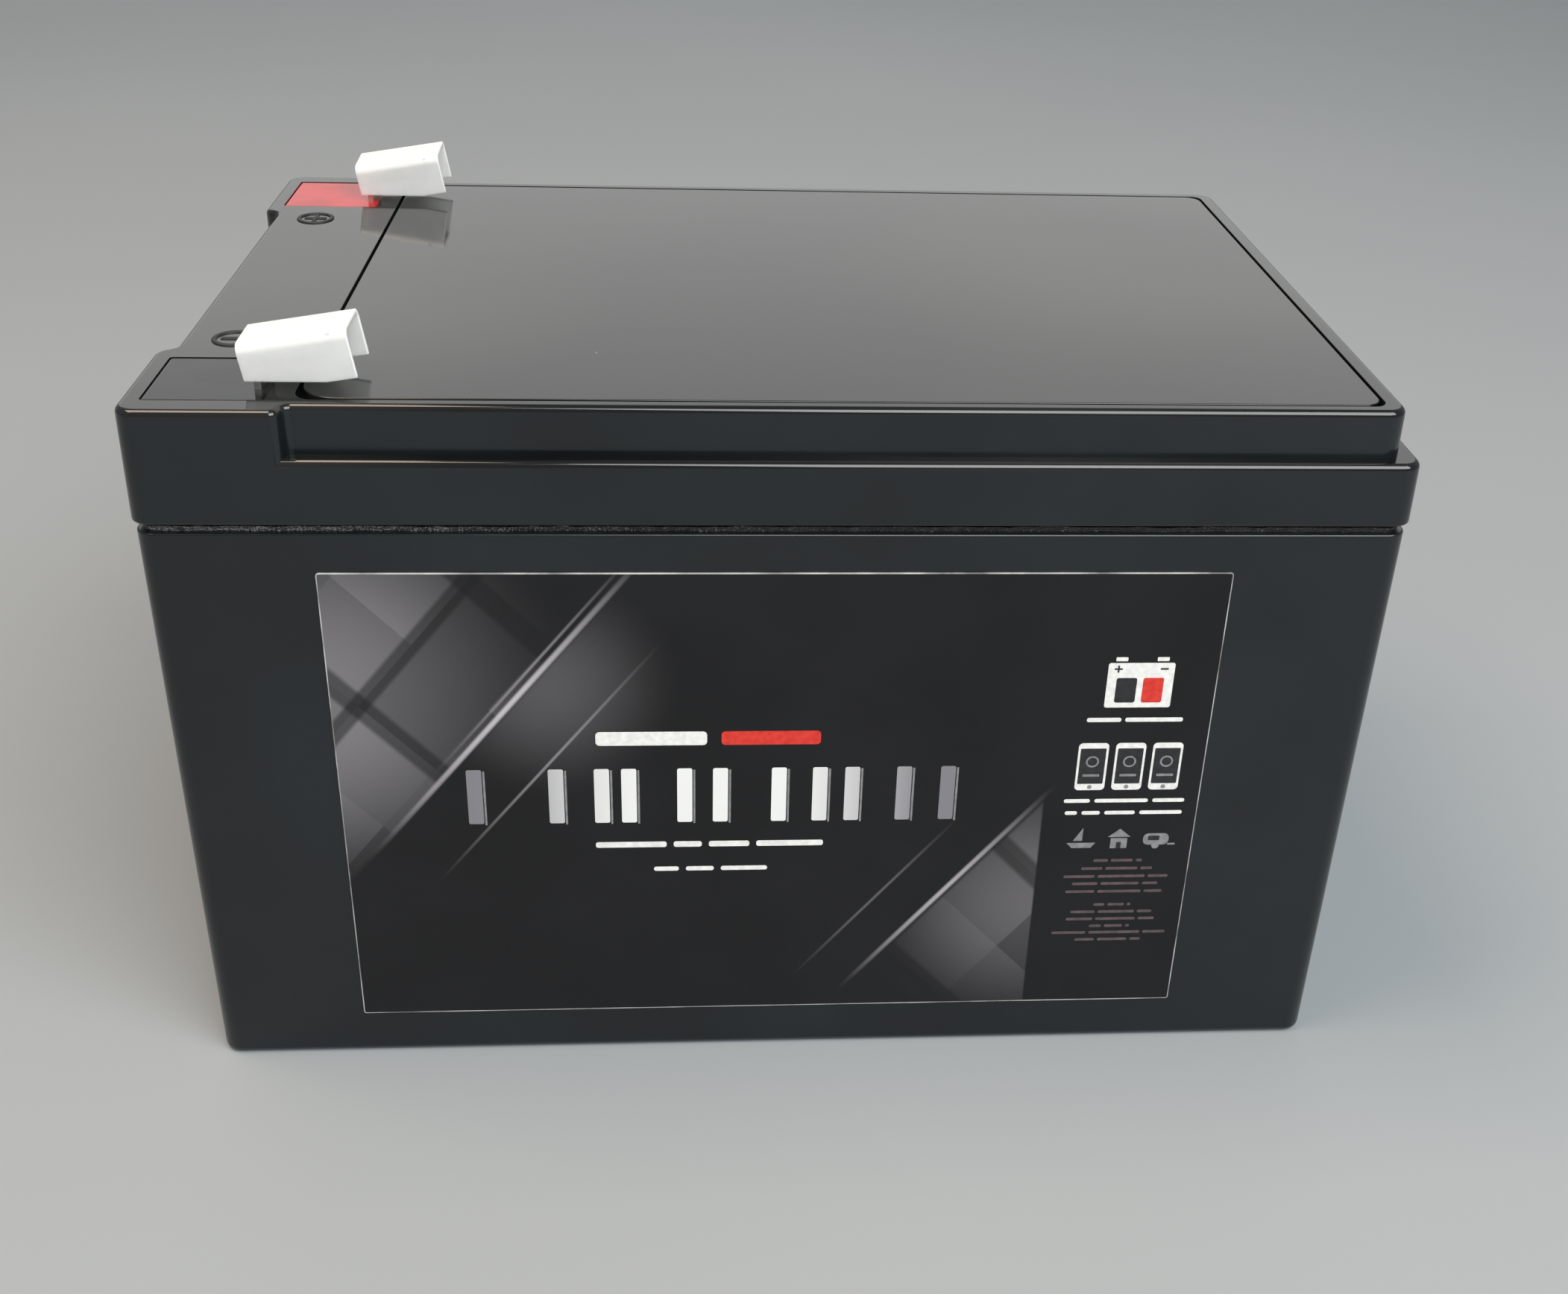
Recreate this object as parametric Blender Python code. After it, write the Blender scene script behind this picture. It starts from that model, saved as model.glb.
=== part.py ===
"""Sealed 12 V lithium deep cycle battery in a standard 151 x 98 mm moulded case.

Metres, +Z up. The origin is the middle of the case's underside. +X runs along the case, away from
the terminals. -Y is the labelled front. The negative tab is at the front and the positive one at
the back, and a loose insulating cap is pushed over each blade.
"""
from math import cos, pi, radians, sin, tan

import bmesh
import bpy
from mathutils import Matrix, Vector

MM = 0.001
GAP = 0.3 * MM                  # clearance between pieces that rest on each other
TINY = 0.001 * MM

# Case and lid, outside
LENGTH = 151 * MM
WIDTH = 98 * MM
BODY_HEIGHT = 94 * MM           # to the lid's top face, without the terminals
CORNER = 2.5 * MM               # upright corners
EDGE = 0.8 * MM                 # moulded edge rounding
RIM_HEIGHT = 78.7 * MM          # case rim
RIM_INSET = 0.3 * MM            # the lid stands this far out over the case
FOOT_INSET = 1.2 * MM           # the case's draft: how far its foot is inside the lid's outline
SKIRT_FOOT = 79.9 * MM
LEDGE_HEIGHT = 88 * MM          # top of the lid's skirt, the step below the top face
STEP_INSET = 2.1 * MM
BLOCK_END = -57.4 * MM          # the two full-width corner blocks run from the -X end to here
BLOCK_SIDE = 28.6 * MM          # and from the long sides in to here
CAVITY_LENGTH = 143.6 * MM
CAVITY_WIDTH = 90.4 * MM
FLOOR = 2.5 * MM
LID_CEILING = 89.2 * MM
END_CEILING = 86.2 * MM         # lower under the terminal wells

# Cover plate let into the lid
PLATE_LEFT = -56 * MM
PLATE_RIGHT = 70.8 * MM
PLATE_HALF_WIDTH = 44.7 * MM
PLATE_GROOVE = 0.4 * MM
PLATE_DEPTH = 2.3 * MM

# Terminals: 6.35 x 0.8 mm tabs, bent over towards +X and rising a little
TAB_WIDTH = 6.35 * MM
TAB_THICKNESS = 0.8 * MM
TAB_LEG_X = -61.2 * MM          # outer face of the upright leg
TAB_FOOT = 83.5 * MM
TAB_TOP = 98.3 * MM             # upper face of the blade where it leaves the bend
BLADE_RISE = radians(9.5)
BLADE_LENGTH = 8.75 * MM
WELL_LEFT = -73.2 * MM
WELL_RIGHT = -59.4 * MM
WELL_WIDTH = 13.6 * MM
WELL_FLOOR = 88.4 * MM
RESIN_TOP = 93.75 * MM
MARK_X = -67.2 * MM             # raised polarity marks, beside the wells
MARK_FROM_TAB = 13.2 * MM
MARK_RADIUS = 2.7 * MM
MARK_LINE = 0.4 * MM
MARK_SIGN = 1.6 * MM            # half the length of a sign's bar
MARK_HEIGHT = 0.2 * MM
TERMINALS = {"negative": -38.9 * MM, "positive": 38.9 * MM}

# Caps
CAP_WIDTH = 8.1 * MM
CAP_WALL = 0.5 * MM
CAP_ABOVE_BLADE = 1.5 * MM
CAP_HEIGHT = 6.0 * MM
CAP_START = -1.35 * MM          # along the blade, from the outer face of the leg
CAP_END = 11.35 * MM
CAP_FOOT = 95.15 * MM           # level trim of the lower edge
CAP_LEAN = {"negative": 0.0, "positive": radians(3.0)}

# Cells: eight 32 x 70 mm cylinders, two side by side in each of four groups
CELL_RADIUS = 16.1 * MM
CELL_FOOT = 6.5 * MM
CELL_LENGTH = 70.5 * MM
CELL_PITCH = 33.4 * MM
CELL_SIDES = 20
HOLDER_HEIGHT = 7 * MM
SHEET = 0.3 * MM                # nickel strip
BOARD = 0.5 * MM                # glass-fibre insulation
STRIP_REACH = 9 * MM            # nickel strips reach this far past the cells' axes
TAP_X = 19.5 * MM               # where a balance lead reaches the middle strip
TAP_Y = 29.5 * MM
FOAM_TOP = 73.7 * MM
FOAM_INNER_X = 67.8 * MM
FOAM_INNER_Y = 35.6 * MM

# Battery management board
BMS_FOOT = 81 * MM
BMS_THICKNESS = 1.6 * MM
BMS_CENTRE_X = 8 * MM
BMS_LENGTH = 90 * MM
BMS_WIDTH = 50 * MM
PACKAGE_START_X = -22 * MM      # four transistors in a row
PACKAGE_PITCH = 13 * MM
SPREADER_FRONT = -17 * MM
SPREADER_BACK = -3 * MM
CONNECTOR_X = 20 * MM
CONNECTOR_FRONT = 17 * MM
CONNECTOR_BACK = 23 * MM
PIN_SPACING = 2.5 * MM
MAIN_LEAD = 3.5 * MM
LEAD_BEND = 3.6 * MM            # radius of a main lead's upturn under its tab
THIN_LEAD = 1.2 * MM
SIDE_GAP_Y = 34.75 * MM         # thin leads run down between the cell holders and the foam

# Front label
LABEL_LEFT = -55 * MM
LABEL_RIGHT = 54.2 * MM
LABEL_FOOT = 6.9 * MM
LABEL_TOP = 73.7 * MM
LABEL_THICKNESS = 0.2 * MM
LABEL_GAP = 0.1 * MM


def clear_scene():
    """Remove whatever the file holds."""
    for item in list(bpy.data.objects):
        bpy.data.objects.remove(item, do_unlink=True)


def material(name, colour, roughness, metallic=0.0):
    """A plain Principled BSDF finish."""
    made = bpy.data.materials.new(name)
    made.use_nodes = True
    shader = made.node_tree.nodes["Principled BSDF"]
    shader.inputs["Base Color"].default_value = (*colour, 1.0)
    shader.inputs["Roughness"].default_value = roughness
    shader.inputs["Metallic"].default_value = metallic
    return made


def rounded(corners, steps=4):
    """Closed outline through corners given as (a, b, radius); each corner is an arc."""
    points = []
    for index, (a, b, radius) in enumerate(corners):
        corner = Vector((a, b))
        before = (Vector(corners[index - 1][:2]) - corner).normalized()
        after = (Vector(corners[(index + 1) % len(corners)][:2]) - corner).normalized()
        if radius == 0:
            points.append(corner)
            continue
        half = before.angle(after) / 2
        centre = corner + (before + after).normalized() * radius / sin(half)
        start = corner + before * radius / tan(half) - centre
        turn = (pi - 2 * half) * (-1 if before.cross(after) > 0 else 1)
        points += [centre + Matrix.Rotation(turn * k / steps, 2) @ start for k in range(steps + 1)]
    return points


def rectangle(left, right, front, back, radius=0.0, steps=4):
    """Rectangle with round corners."""
    spots = ((left, front), (right, front), (right, back), (left, back))
    return rounded([(a, b, radius) for a, b in spots], steps)


def centred(length, width, radius=0.0, steps=4):
    """Rectangle with round corners about the origin."""
    return rectangle(-length / 2, length / 2, -width / 2, width / 2, radius, steps)


def circle(centre_x, centre_y, radius, sides):
    """Regular polygon standing in for a circle."""
    return [(centre_x + radius * cos(2 * pi * k / sides), centre_y + radius * sin(2 * pi * k / sides))
            for k in range(sides)]


def finish_mesh(name, bm, finish):
    """Object of a closed bmesh, faces outward, smooth with sharp edges kept."""
    bm.normal_update()
    bmesh.ops.recalc_face_normals(bm, faces=bm.faces[:])
    mesh = bpy.data.meshes.new(name)
    bm.to_mesh(mesh)
    bm.free()
    mesh.materials.append(finish)
    mesh.shade_smooth()
    mesh.set_sharp_from_angle(angle=radians(40))
    piece = bpy.data.objects.new(name, mesh)
    bpy.context.collection.objects.link(piece)
    return piece


def level_edges(bm, height):
    """Edges that lie wholly at one height."""
    return [edge for edge in bm.edges if all(abs(v.co.z - height) < TINY for v in edge.verts)]


def prism(name, outline, low, high, finish, axis="Z", top_round=0.0, foot_round=0.0,
          foot_scale=(1.0, 1.0), steps=2):
    """Outline extruded from low to high along an axis, with rounded end edges.

    Along Z the outline is (x, y), along Y it is (x, z) and along X it is (y, z).
    """
    bm = bmesh.new()
    base = bm.faces.new([bm.verts.new((a, b, low)) for a, b in outline])
    raised = bmesh.ops.extrude_face_region(bm, geom=[base])["geom"]
    top = [item for item in raised if isinstance(item, bmesh.types.BMVert)]
    bmesh.ops.translate(bm, vec=(0, 0, high - low), verts=top)
    foot = [v for v in bm.verts if abs(v.co.z - low) < TINY]
    bmesh.ops.scale(bm, vec=(*foot_scale, 1.0), verts=foot)
    for height, radius in ((high, top_round), (low, foot_round)):
        if radius:
            bmesh.ops.bevel(bm, geom=level_edges(bm, height), offset=radius, segments=steps,
                            profile=0.5, affect="EDGES", material=-1)
    facing = {"Z": Matrix.Identity(4),
              "Y": Matrix(((1, 0, 0, 0), (0, 0, 1, 0), (0, 1, 0, 0), (0, 0, 0, 1))),
              "X": Matrix(((0, 0, 1, 0), (1, 0, 0, 0), (0, 1, 0, 0), (0, 0, 0, 1)))}
    bm.transform(facing[axis])
    return finish_mesh(name, bm, finish)


def shape(piece, tool, operation="DIFFERENCE"):
    """Cut a piece with a hidden tool, or join the tool to it."""
    tool.hide_render = True
    tool.display_type = "WIRE"
    step = piece.modifiers.new(tool.name, "BOOLEAN")
    step.operation = operation
    step.solver = "EXACT"
    step.object = tool
    return piece


def turned(name, profile, centre, finish, sides, flipped=False):
    """Solid of revolution about an upright axis through centre, from a profile of (radius, height)."""
    bm = bmesh.new()
    verts = [bm.verts.new((radius, 0, height)) for radius, height in profile]
    edges = [bm.edges.new(pair) for pair in zip(verts, verts[1:])]
    bmesh.ops.spin(bm, geom=verts + edges, cent=(0, 0, 0), axis=(0, 0, 1), angle=2 * pi, steps=sides,
                   use_merge=True)
    bmesh.ops.remove_doubles(bm, verts=bm.verts[:], dist=TINY)
    if flipped:
        bmesh.ops.rotate(bm, cent=(0, 0, CELL_LENGTH / 2), matrix=Matrix.Rotation(pi, 3, "X"),
                         verts=bm.verts[:])
    bmesh.ops.translate(bm, vec=centre, verts=bm.verts[:])
    return finish_mesh(name, bm, finish)


def smooth_route(spots, parts=5):
    """Points along a smooth curve that passes through every spot."""
    spots = [Vector(spot) for spot in spots]
    ends = [2 * spots[0] - spots[1], *spots, 2 * spots[-1] - spots[-2]]
    route = []
    for a, b, c, d in zip(ends, ends[1:], ends[2:], ends[3:]):
        for k in range(parts):
            t = k / parts
            route.append(0.5 * (2 * b + (c - a) * t + (2 * a - 5 * b + 4 * c - d) * t ** 2
                                + (3 * b - a - 3 * c + d) * t ** 3))
    return route + [spots[-1]]


def lead(name, spots, diameter, finish, swell=1.0):
    """Round insulated lead along a smooth route in millimetres; swell thickens its last stretch."""
    route = smooth_route([Vector(spot) * MM for spot in spots])
    curve = bpy.data.curves.new(name, "CURVE")
    curve.dimensions = "3D"
    curve.bevel_depth = diameter / 2
    curve.bevel_resolution = 2
    curve.use_fill_caps = True
    spline = curve.splines.new("POLY")
    spline.points.add(len(route) - 1)
    for index, (point, place) in enumerate(zip(spline.points, route)):
        point.co = (*place, 1.0)
        point.radius = swell if index > len(route) - 4 else 1.0
    curve.materials.append(finish)
    piece = bpy.data.objects.new(name, curve)
    bpy.context.collection.objects.link(piece)
    return piece


def cell_place(number):
    """Centre of a cell: odd numbers in the front row, even ones in the back row."""
    column, row = divmod(number - 1, 2)
    return (column - 1.5) * CELL_PITCH, (row - 0.5) * CELL_PITCH


def build_case(black):
    """Open tub with a slight draft, thicker towards the rim."""
    outer_length = LENGTH - 2 * RIM_INSET
    outer_width = WIDTH - 2 * RIM_INSET
    draft = ((LENGTH - 2 * FOOT_INSET) / outer_length, (WIDTH - 2 * FOOT_INSET) / outer_width)
    case = prism("case", centred(outer_length, outer_width, CORNER), 0, RIM_HEIGHT, black,
                 top_round=0.3 * MM, foot_round=1.0 * MM, foot_scale=draft)
    room = prism("case_room", centred(CAVITY_LENGTH, CAVITY_WIDTH, 1.5 * MM), FLOOR,
                 RIM_HEIGHT + 5 * MM, black)
    return shape(case, room)


def lid_top_outline():
    """The stepped-in top face with two blocks left at full width at the terminal end."""
    half_length = LENGTH / 2
    half_width = WIDTH / 2
    right = half_length - STEP_INSET
    side = half_width - STEP_INSET
    recess = -half_length + STEP_INSET
    front_half = [(recess, -BLOCK_SIDE, 0.8 * MM), (-half_length, -BLOCK_SIDE - 1.2 * MM, 1.2 * MM),
                  (-half_length, -half_width, CORNER), (BLOCK_END, -half_width, EDGE),
                  (BLOCK_END + 0.4 * MM, -side, EDGE), (right, -side, CORNER)]
    back_half = [(a, -b, radius) for a, b, radius in reversed(front_half)]
    return rounded(front_half + back_half, steps=3)


def build_lid(black):
    """Skirt, stepped top with the cover-plate recess, terminal wells, and a lip inside the case."""
    lid = prism("lid", centred(LENGTH, WIDTH, CORNER), SKIRT_FOOT, LEDGE_HEIGHT, black,
                top_round=EDGE, foot_round=0.3 * MM)
    top = prism("lid_top", lid_top_outline(), SKIRT_FOOT + 2 * MM, BODY_HEIGHT, black, top_round=EDGE)
    shape(lid, top, "UNION")
    lip_wall = 1.5 * MM
    lip_length = CAVITY_LENGTH - 2 * GAP
    lip_width = CAVITY_WIDTH - 2 * GAP
    lip = prism("lid_lip", centred(lip_length, lip_width, 1.2 * MM), RIM_HEIGHT - 2.3 * MM,
                SKIRT_FOOT + 1 * MM, black)
    shape(lid, lip, "UNION")
    low = RIM_HEIGHT - 4 * MM
    inner_half_length = lip_length / 2 - lip_wall
    inner_width = lip_width - 2 * lip_wall
    main_room = prism("lid_room", rectangle(BLOCK_END, inner_half_length, -inner_width / 2,
                                            inner_width / 2, 1 * MM), low, LID_CEILING, black)
    end_room = prism("lid_end_room", rectangle(-inner_half_length, BLOCK_END + 4 * MM,
                                               -inner_width / 2, inner_width / 2, 1 * MM),
                     low, END_CEILING, black)
    recess = prism("lid_recess", plate_outline(PLATE_GROOVE, 2.2 * MM, 1.6 * MM),
                   BODY_HEIGHT - PLATE_DEPTH, BODY_HEIGHT + 2 * MM, black)
    for tool in (main_room, end_room, recess):
        shape(lid, tool)
    for pole, y in TERMINALS.items():
        well = prism("lid_well_" + pole, rectangle(WELL_LEFT, WELL_RIGHT, y - WELL_WIDTH / 2,
                                                   y + WELL_WIDTH / 2, 0.5 * MM),
                     WELL_FLOOR, BODY_HEIGHT + 2 * MM, black)
        slot = prism("lid_slot_" + pole, tab_slot(y), END_CEILING - 1 * MM, WELL_FLOOR + 1 * MM, black)
        shape(lid, well)
        shape(lid, slot)
        add_polarity_mark(lid, pole, y, black)
    return lid


def add_polarity_mark(lid, pole, terminal_y, black):
    """Raised sign in a ring on the lid's top face, beside the well on the inner side."""
    centre_y = terminal_y - MARK_FROM_TAB * (1 if terminal_y > 0 else -1)
    sign = MARK_SIGN
    arm = MARK_LINE / 2
    low = BODY_HEIGHT - 0.5 * MM
    high = BODY_HEIGHT + MARK_HEIGHT
    ring = prism("mark_ring_" + pole, circle(MARK_X, centre_y, MARK_RADIUS, 28), low, high, black)
    hollow = prism("mark_hollow_" + pole, circle(MARK_X, centre_y, MARK_RADIUS - MARK_LINE, 28),
                   low - 1 * MM, high + 1 * MM, black)
    shape(ring, hollow)
    shape(lid, ring, "UNION")
    bar = rectangle(MARK_X - sign, MARK_X + sign, centre_y - arm, centre_y + arm)
    if pole == "positive":
        bar = [(MARK_X + a, centre_y + b) for a, b in (
            (-sign, -arm), (-arm, -arm), (-arm, -sign), (arm, -sign), (arm, -arm), (sign, -arm),
            (sign, arm), (arm, arm), (arm, sign), (-arm, sign), (-arm, arm), (-sign, arm))]
    shape(lid, prism("mark_sign_" + pole, bar, low, high, black), "UNION")


def tab_slot(y):
    """Slot that the tab's leg passes through."""
    half = TAB_WIDTH / 2 + GAP
    return rectangle(TAB_LEG_X - GAP, TAB_LEG_X + TAB_THICKNESS + GAP, y - half, y + half)


def plate_outline(margin, left_radius, right_radius):
    """The cover plate's outline, or its recess with a margin round it."""
    left = PLATE_LEFT - margin
    right = PLATE_RIGHT + margin
    side = PLATE_HALF_WIDTH + margin
    return rounded([(left, -side, left_radius), (right, -side, right_radius),
                    (right, side, right_radius), (left, side, left_radius)])


def build_seam(grey, length_inset, wall):
    """Bead of adhesive between the lid's skirt and the case rim."""
    length = LENGTH - 2 * length_inset
    width = WIDTH - 2 * length_inset
    bead = prism("seam_adhesive", centred(length, width, CORNER - 1 * MM), RIM_HEIGHT + GAP,
                 SKIRT_FOOT - GAP, grey)
    hole = prism("seam_hole", centred(length - 2 * wall, width - 2 * wall, 0.8 * MM), RIM_HEIGHT,
                 SKIRT_FOOT, grey)
    return shape(bead, hole)


def build_terminal(pole, y, tin):
    """Tab bent from strip: an upright leg through the lid and a blade that rises towards its tip."""
    along = Vector((cos(BLADE_RISE), sin(BLADE_RISE)))
    down = Vector((sin(BLADE_RISE), -cos(BLADE_RISE)))
    root = Vector((TAB_LEG_X, TAB_TOP))
    tip = root + along * BLADE_LENGTH
    inner_x = TAB_LEG_X + TAB_THICKNESS
    under = root + down * TAB_THICKNESS
    inner = under + along * ((inner_x - under.x) / along.x)
    side = rounded([(TAB_LEG_X, TAB_FOOT, 0), (inner_x, TAB_FOOT, 0), (*inner, 0.4 * MM),
                    (*(tip + down * TAB_THICKNESS), 0), (*tip, 0), (*root, 1.1 * MM)], steps=5)
    tab = prism("terminal_" + pole, side, y - TAB_WIDTH / 2, y + TAB_WIDTH / 2, tin, axis="Y")
    hole_at = root + along * (BLADE_LENGTH - 3.6 * MM)
    hole = prism("tab_hole_" + pole, circle(hole_at.x, y, 0.8 * MM, 16), TAB_TOP - 3 * MM,
                 TAB_TOP + 4 * MM, tin)
    shape(tab, hole)
    chamfer = 1.0 * MM
    for sign in (-1, 1):
        edge_y = y + sign * TAB_WIDTH / 2
        corner = [(tip.x - chamfer, edge_y + sign * 0.5 * MM), (tip.x - chamfer, edge_y),
                  (tip.x + 0.2 * MM, edge_y - sign * (chamfer + 0.2 * MM)),
                  (tip.x + 1 * MM, edge_y + sign * 0.5 * MM)]
        trim = prism(f"tab_trim_{pole}_{sign}", corner, TAB_TOP - 3 * MM, TAB_TOP + 5 * MM, tin)
        shape(tab, trim)
    return tab


def build_resin(pole, y, finish):
    """Potting resin poured round the tab's leg in its well."""
    left, right = WELL_LEFT + GAP, WELL_RIGHT - GAP
    half = WELL_WIDTH / 2 - GAP
    resin = prism("terminal_resin_" + pole, rectangle(left, right, y - half, y + half, 0.4 * MM),
                  WELL_FLOOR + GAP, RESIN_TOP, finish)
    hole = prism("resin_slot_" + pole, tab_slot(y), WELL_FLOOR - 1 * MM, RESIN_TOP + 1 * MM, finish)
    return shape(resin, hole)


def build_cap(pole, y, milky):
    """Sleeve over the blade, open below and at both ends, that pulls off along the blade.

    It is drawn level with its cavity round the blade, leaned, then tilted to the blade's rise.
    Lips on the side walls pass under the blade, and a rib past its tip stops the cap.
    """
    half = CAP_WIDTH / 2
    inner = half - CAP_WALL
    top = CAP_ABOVE_BLADE
    ceiling = top - CAP_WALL
    foot = top - CAP_HEIGHT
    outer_round = 1.3 * MM
    section = rounded([(-half, foot, 0), (-inner, foot, 0), (-inner, ceiling, outer_round - CAP_WALL),
                       (inner, ceiling, outer_round - CAP_WALL), (inner, foot, 0), (half, foot, 0),
                       (half, top, outer_round), (-half, top, outer_round)], steps=4)
    cap = prism("cap_" + pole, section, CAP_START, CAP_END, milky, axis="X")
    lip_top = -TAB_THICKNESS - GAP
    lip_foot = lip_top - 0.5 * MM
    bite = CAP_WALL / 2
    parts = [prism("cap_stop_" + pole, rectangle(-inner - bite, inner + bite, lip_top,
                                                 ceiling + bite),
                   BLADE_LENGTH + GAP, BLADE_LENGTH + GAP + 0.5 * MM, milky, axis="X")]
    for sign in (-1, 1):
        edge = sorted((sign * (inner + bite), sign * (inner - 0.8 * MM)))
        parts.append(prism(f"cap_lip_{pole}_{sign}", rectangle(*edge, lip_foot, lip_top),
                           2.2 * MM, BLADE_LENGTH - 0.8 * MM, milky, axis="X"))
    trim = prism("cap_trim_" + pole, rectangle(-60 * MM, 60 * MM, -60 * MM, 60 * MM),
                 CAP_FOOT - 8 * MM, CAP_FOOT, milky)
    axis_point = bpy.data.objects.new("cap_axis_" + pole, None)
    bpy.context.collection.objects.link(axis_point)
    axis_point.location = (TAB_LEG_X, y, TAB_TOP)
    axis_point.rotation_euler = (CAP_LEAN[pole], -BLADE_RISE, 0)
    for item in (cap, *parts):
        item.parent = axis_point
    for item in parts:
        shape(cap, item, "UNION")
    trim.location = (TAB_LEG_X, y, 0)
    return shape(cap, trim)


def build_label(film):
    """Printed film on the drafted front face."""
    slope = (FOOT_INSET - RIM_INSET) / RIM_HEIGHT
    face = -WIDTH / 2 + RIM_INSET
    label = prism("front_label", rectangle(LABEL_LEFT, LABEL_RIGHT, LABEL_FOOT, LABEL_TOP, 0.6 * MM),
                  -LABEL_GAP - LABEL_THICKNESS, -LABEL_GAP, film, axis="Y")
    for vertex in label.data.vertices:
        vertex.co.y += face + slope * (RIM_HEIGHT - vertex.co.z)
    return label


def build_cells(sleeve):
    """Eight cells; each next group of two stands the other way up, so strips join them in series."""
    length = CELL_LENGTH
    profile = [(0, 0), (CELL_RADIUS - 0.6 * MM, 0), (CELL_RADIUS, 0.6 * MM),
               (CELL_RADIUS, length - 4 * MM), (CELL_RADIUS - 0.9 * MM, length - 3.2 * MM),
               (CELL_RADIUS - 0.1 * MM, length - 2.2 * MM), (CELL_RADIUS - 0.1 * MM, length - 0.8 * MM),
               (CELL_RADIUS - 3 * MM, length - 0.8 * MM), (7 * MM, length - 0.8 * MM),
               (6.5 * MM, length), (0, length)]
    for number in range(1, 9):
        x, y = cell_place(number)
        group = (number - 1) // 2
        turned(f"cell_{number}", profile, (x, y, CELL_FOOT), sleeve, CELL_SIDES, flipped=group % 2 == 1)


def build_holders(plastic):
    """Moulded grids that keep the cells apart at both ends."""
    clearance = CELL_RADIUS + GAP
    length = 3 * CELL_PITCH + 2 * clearance + 1.2 * MM
    width = CELL_PITCH + 2 * clearance + 1.2 * MM
    feet = {"cell_holder_bottom": CELL_FOOT, "cell_holder_top": CELL_FOOT + CELL_LENGTH - HOLDER_HEIGHT}
    for name, foot in feet.items():
        holder = prism(name, centred(length, width, 1 * MM), foot, foot + HOLDER_HEIGHT, plastic)
        for number in range(1, 9):
            x, y = cell_place(number)
            bore = prism(f"{name}_bore_{number}", circle(x, y, clearance, CELL_SIDES), foot - 1 * MM,
                         foot + HOLDER_HEIGHT + 1 * MM, plastic)
            shape(holder, bore)


def build_strips(nickel):
    """Nickel sheets: two under the cells and three on top, each with a tongue for a lead."""
    side = CELL_PITCH / 2 + STRIP_REACH
    end = 66.5 * MM
    tongue_half = 2.5 * MM
    low = CELL_FOOT - GAP - SHEET
    high = CELL_FOOT + CELL_LENGTH + GAP
    for name, sign in (("nickel_strip_bottom_1", -1), ("nickel_strip_bottom_2", 1)):
        edges = sorted((sign * (CELL_PITCH / 2 - STRIP_REACH), sign * (1.5 * CELL_PITCH + STRIP_REACH)))
        strip = prism(name, rectangle(*edges, -side, side, 2 * MM), low, low + SHEET, nickel)
        tongue_x = sign * CELL_PITCH
        tongue = prism(name + "_tongue", rectangle(tongue_x - tongue_half, tongue_x + tongue_half,
                                                   side - 1 * MM, SIDE_GAP_Y + 0.4 * MM),
                       low, low + SHEET, nickel)
        shape(strip, tongue, "UNION")
    middle = prism("nickel_strip_top_2", centred(CELL_PITCH + 2 * STRIP_REACH, 2 * side, 2 * MM),
                   high, high + SHEET, nickel)
    tongue = prism("middle_tongue", rectangle(TAP_X - tongue_half, TAP_X + tongue_half, side - 1 * MM,
                                              TAP_Y + 2 * MM), high, high + SHEET, nickel)
    shape(middle, tongue, "UNION")
    for name, sign in (("nickel_strip_top_1", -1), ("nickel_strip_top_3", 1)):
        edges = sorted((sign * (1.5 * CELL_PITCH - STRIP_REACH), sign * end))
        prism(name, rectangle(*edges, -side, side, 2 * MM), high, high + SHEET, nickel)


def build_packing(fibre, foam):
    """Insulating boards over and under the strips, and foam between the cells and the walls."""
    strip_top = CELL_FOOT + CELL_LENGTH + GAP + SHEET
    top = prism("insulation_board_top", centred(123 * MM, 66.6 * MM, 1 * MM), strip_top + GAP,
                strip_top + GAP + BOARD, fibre)
    hole = prism("board_hole", circle(TAP_X, TAP_Y, 1.4 * MM, 12), strip_top,
                 strip_top + 2 * MM, fibre)
    shape(top, hole)
    strip_foot = CELL_FOOT - GAP - SHEET
    board_foot = strip_foot - GAP - BOARD
    prism("insulation_board_bottom", centred(134 * MM, 67 * MM, 1 * MM), board_foot,
          board_foot + BOARD, fibre)
    prism("foam_pad_bottom", centred(140 * MM, 88 * MM, 1 * MM), FLOOR + GAP, board_foot - GAP, foam)
    outer_x = CAVITY_LENGTH / 2 - GAP
    outer_y = CAVITY_WIDTH / 2 - GAP
    long_half = 66 * MM
    short_half = 33 * MM
    pads = {"foam_pad_front": (-long_half, long_half, -outer_y, -FOAM_INNER_Y),
            "foam_pad_back": (-long_half, long_half, FOAM_INNER_Y, outer_y),
            "foam_pad_left": (-outer_x, -FOAM_INNER_X, -short_half, short_half),
            "foam_pad_right": (FOAM_INNER_X, outer_x, -short_half, short_half)}
    for name, edges in pads.items():
        prism(name, rectangle(*edges, 0.8 * MM, steps=2), board_foot, FOAM_TOP, foam)
    margin = 5 * MM
    pad_half_width = BMS_WIDTH / 2 - margin
    prism("foam_pad_board", rectangle(BMS_CENTRE_X - BMS_LENGTH / 2 + margin,
                                      BMS_CENTRE_X + BMS_LENGTH / 2 - margin,
                                      -pad_half_width, pad_half_width, 1 * MM, steps=2),
          strip_top + GAP + BOARD + GAP, BMS_FOOT - GAP, foam)


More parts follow.
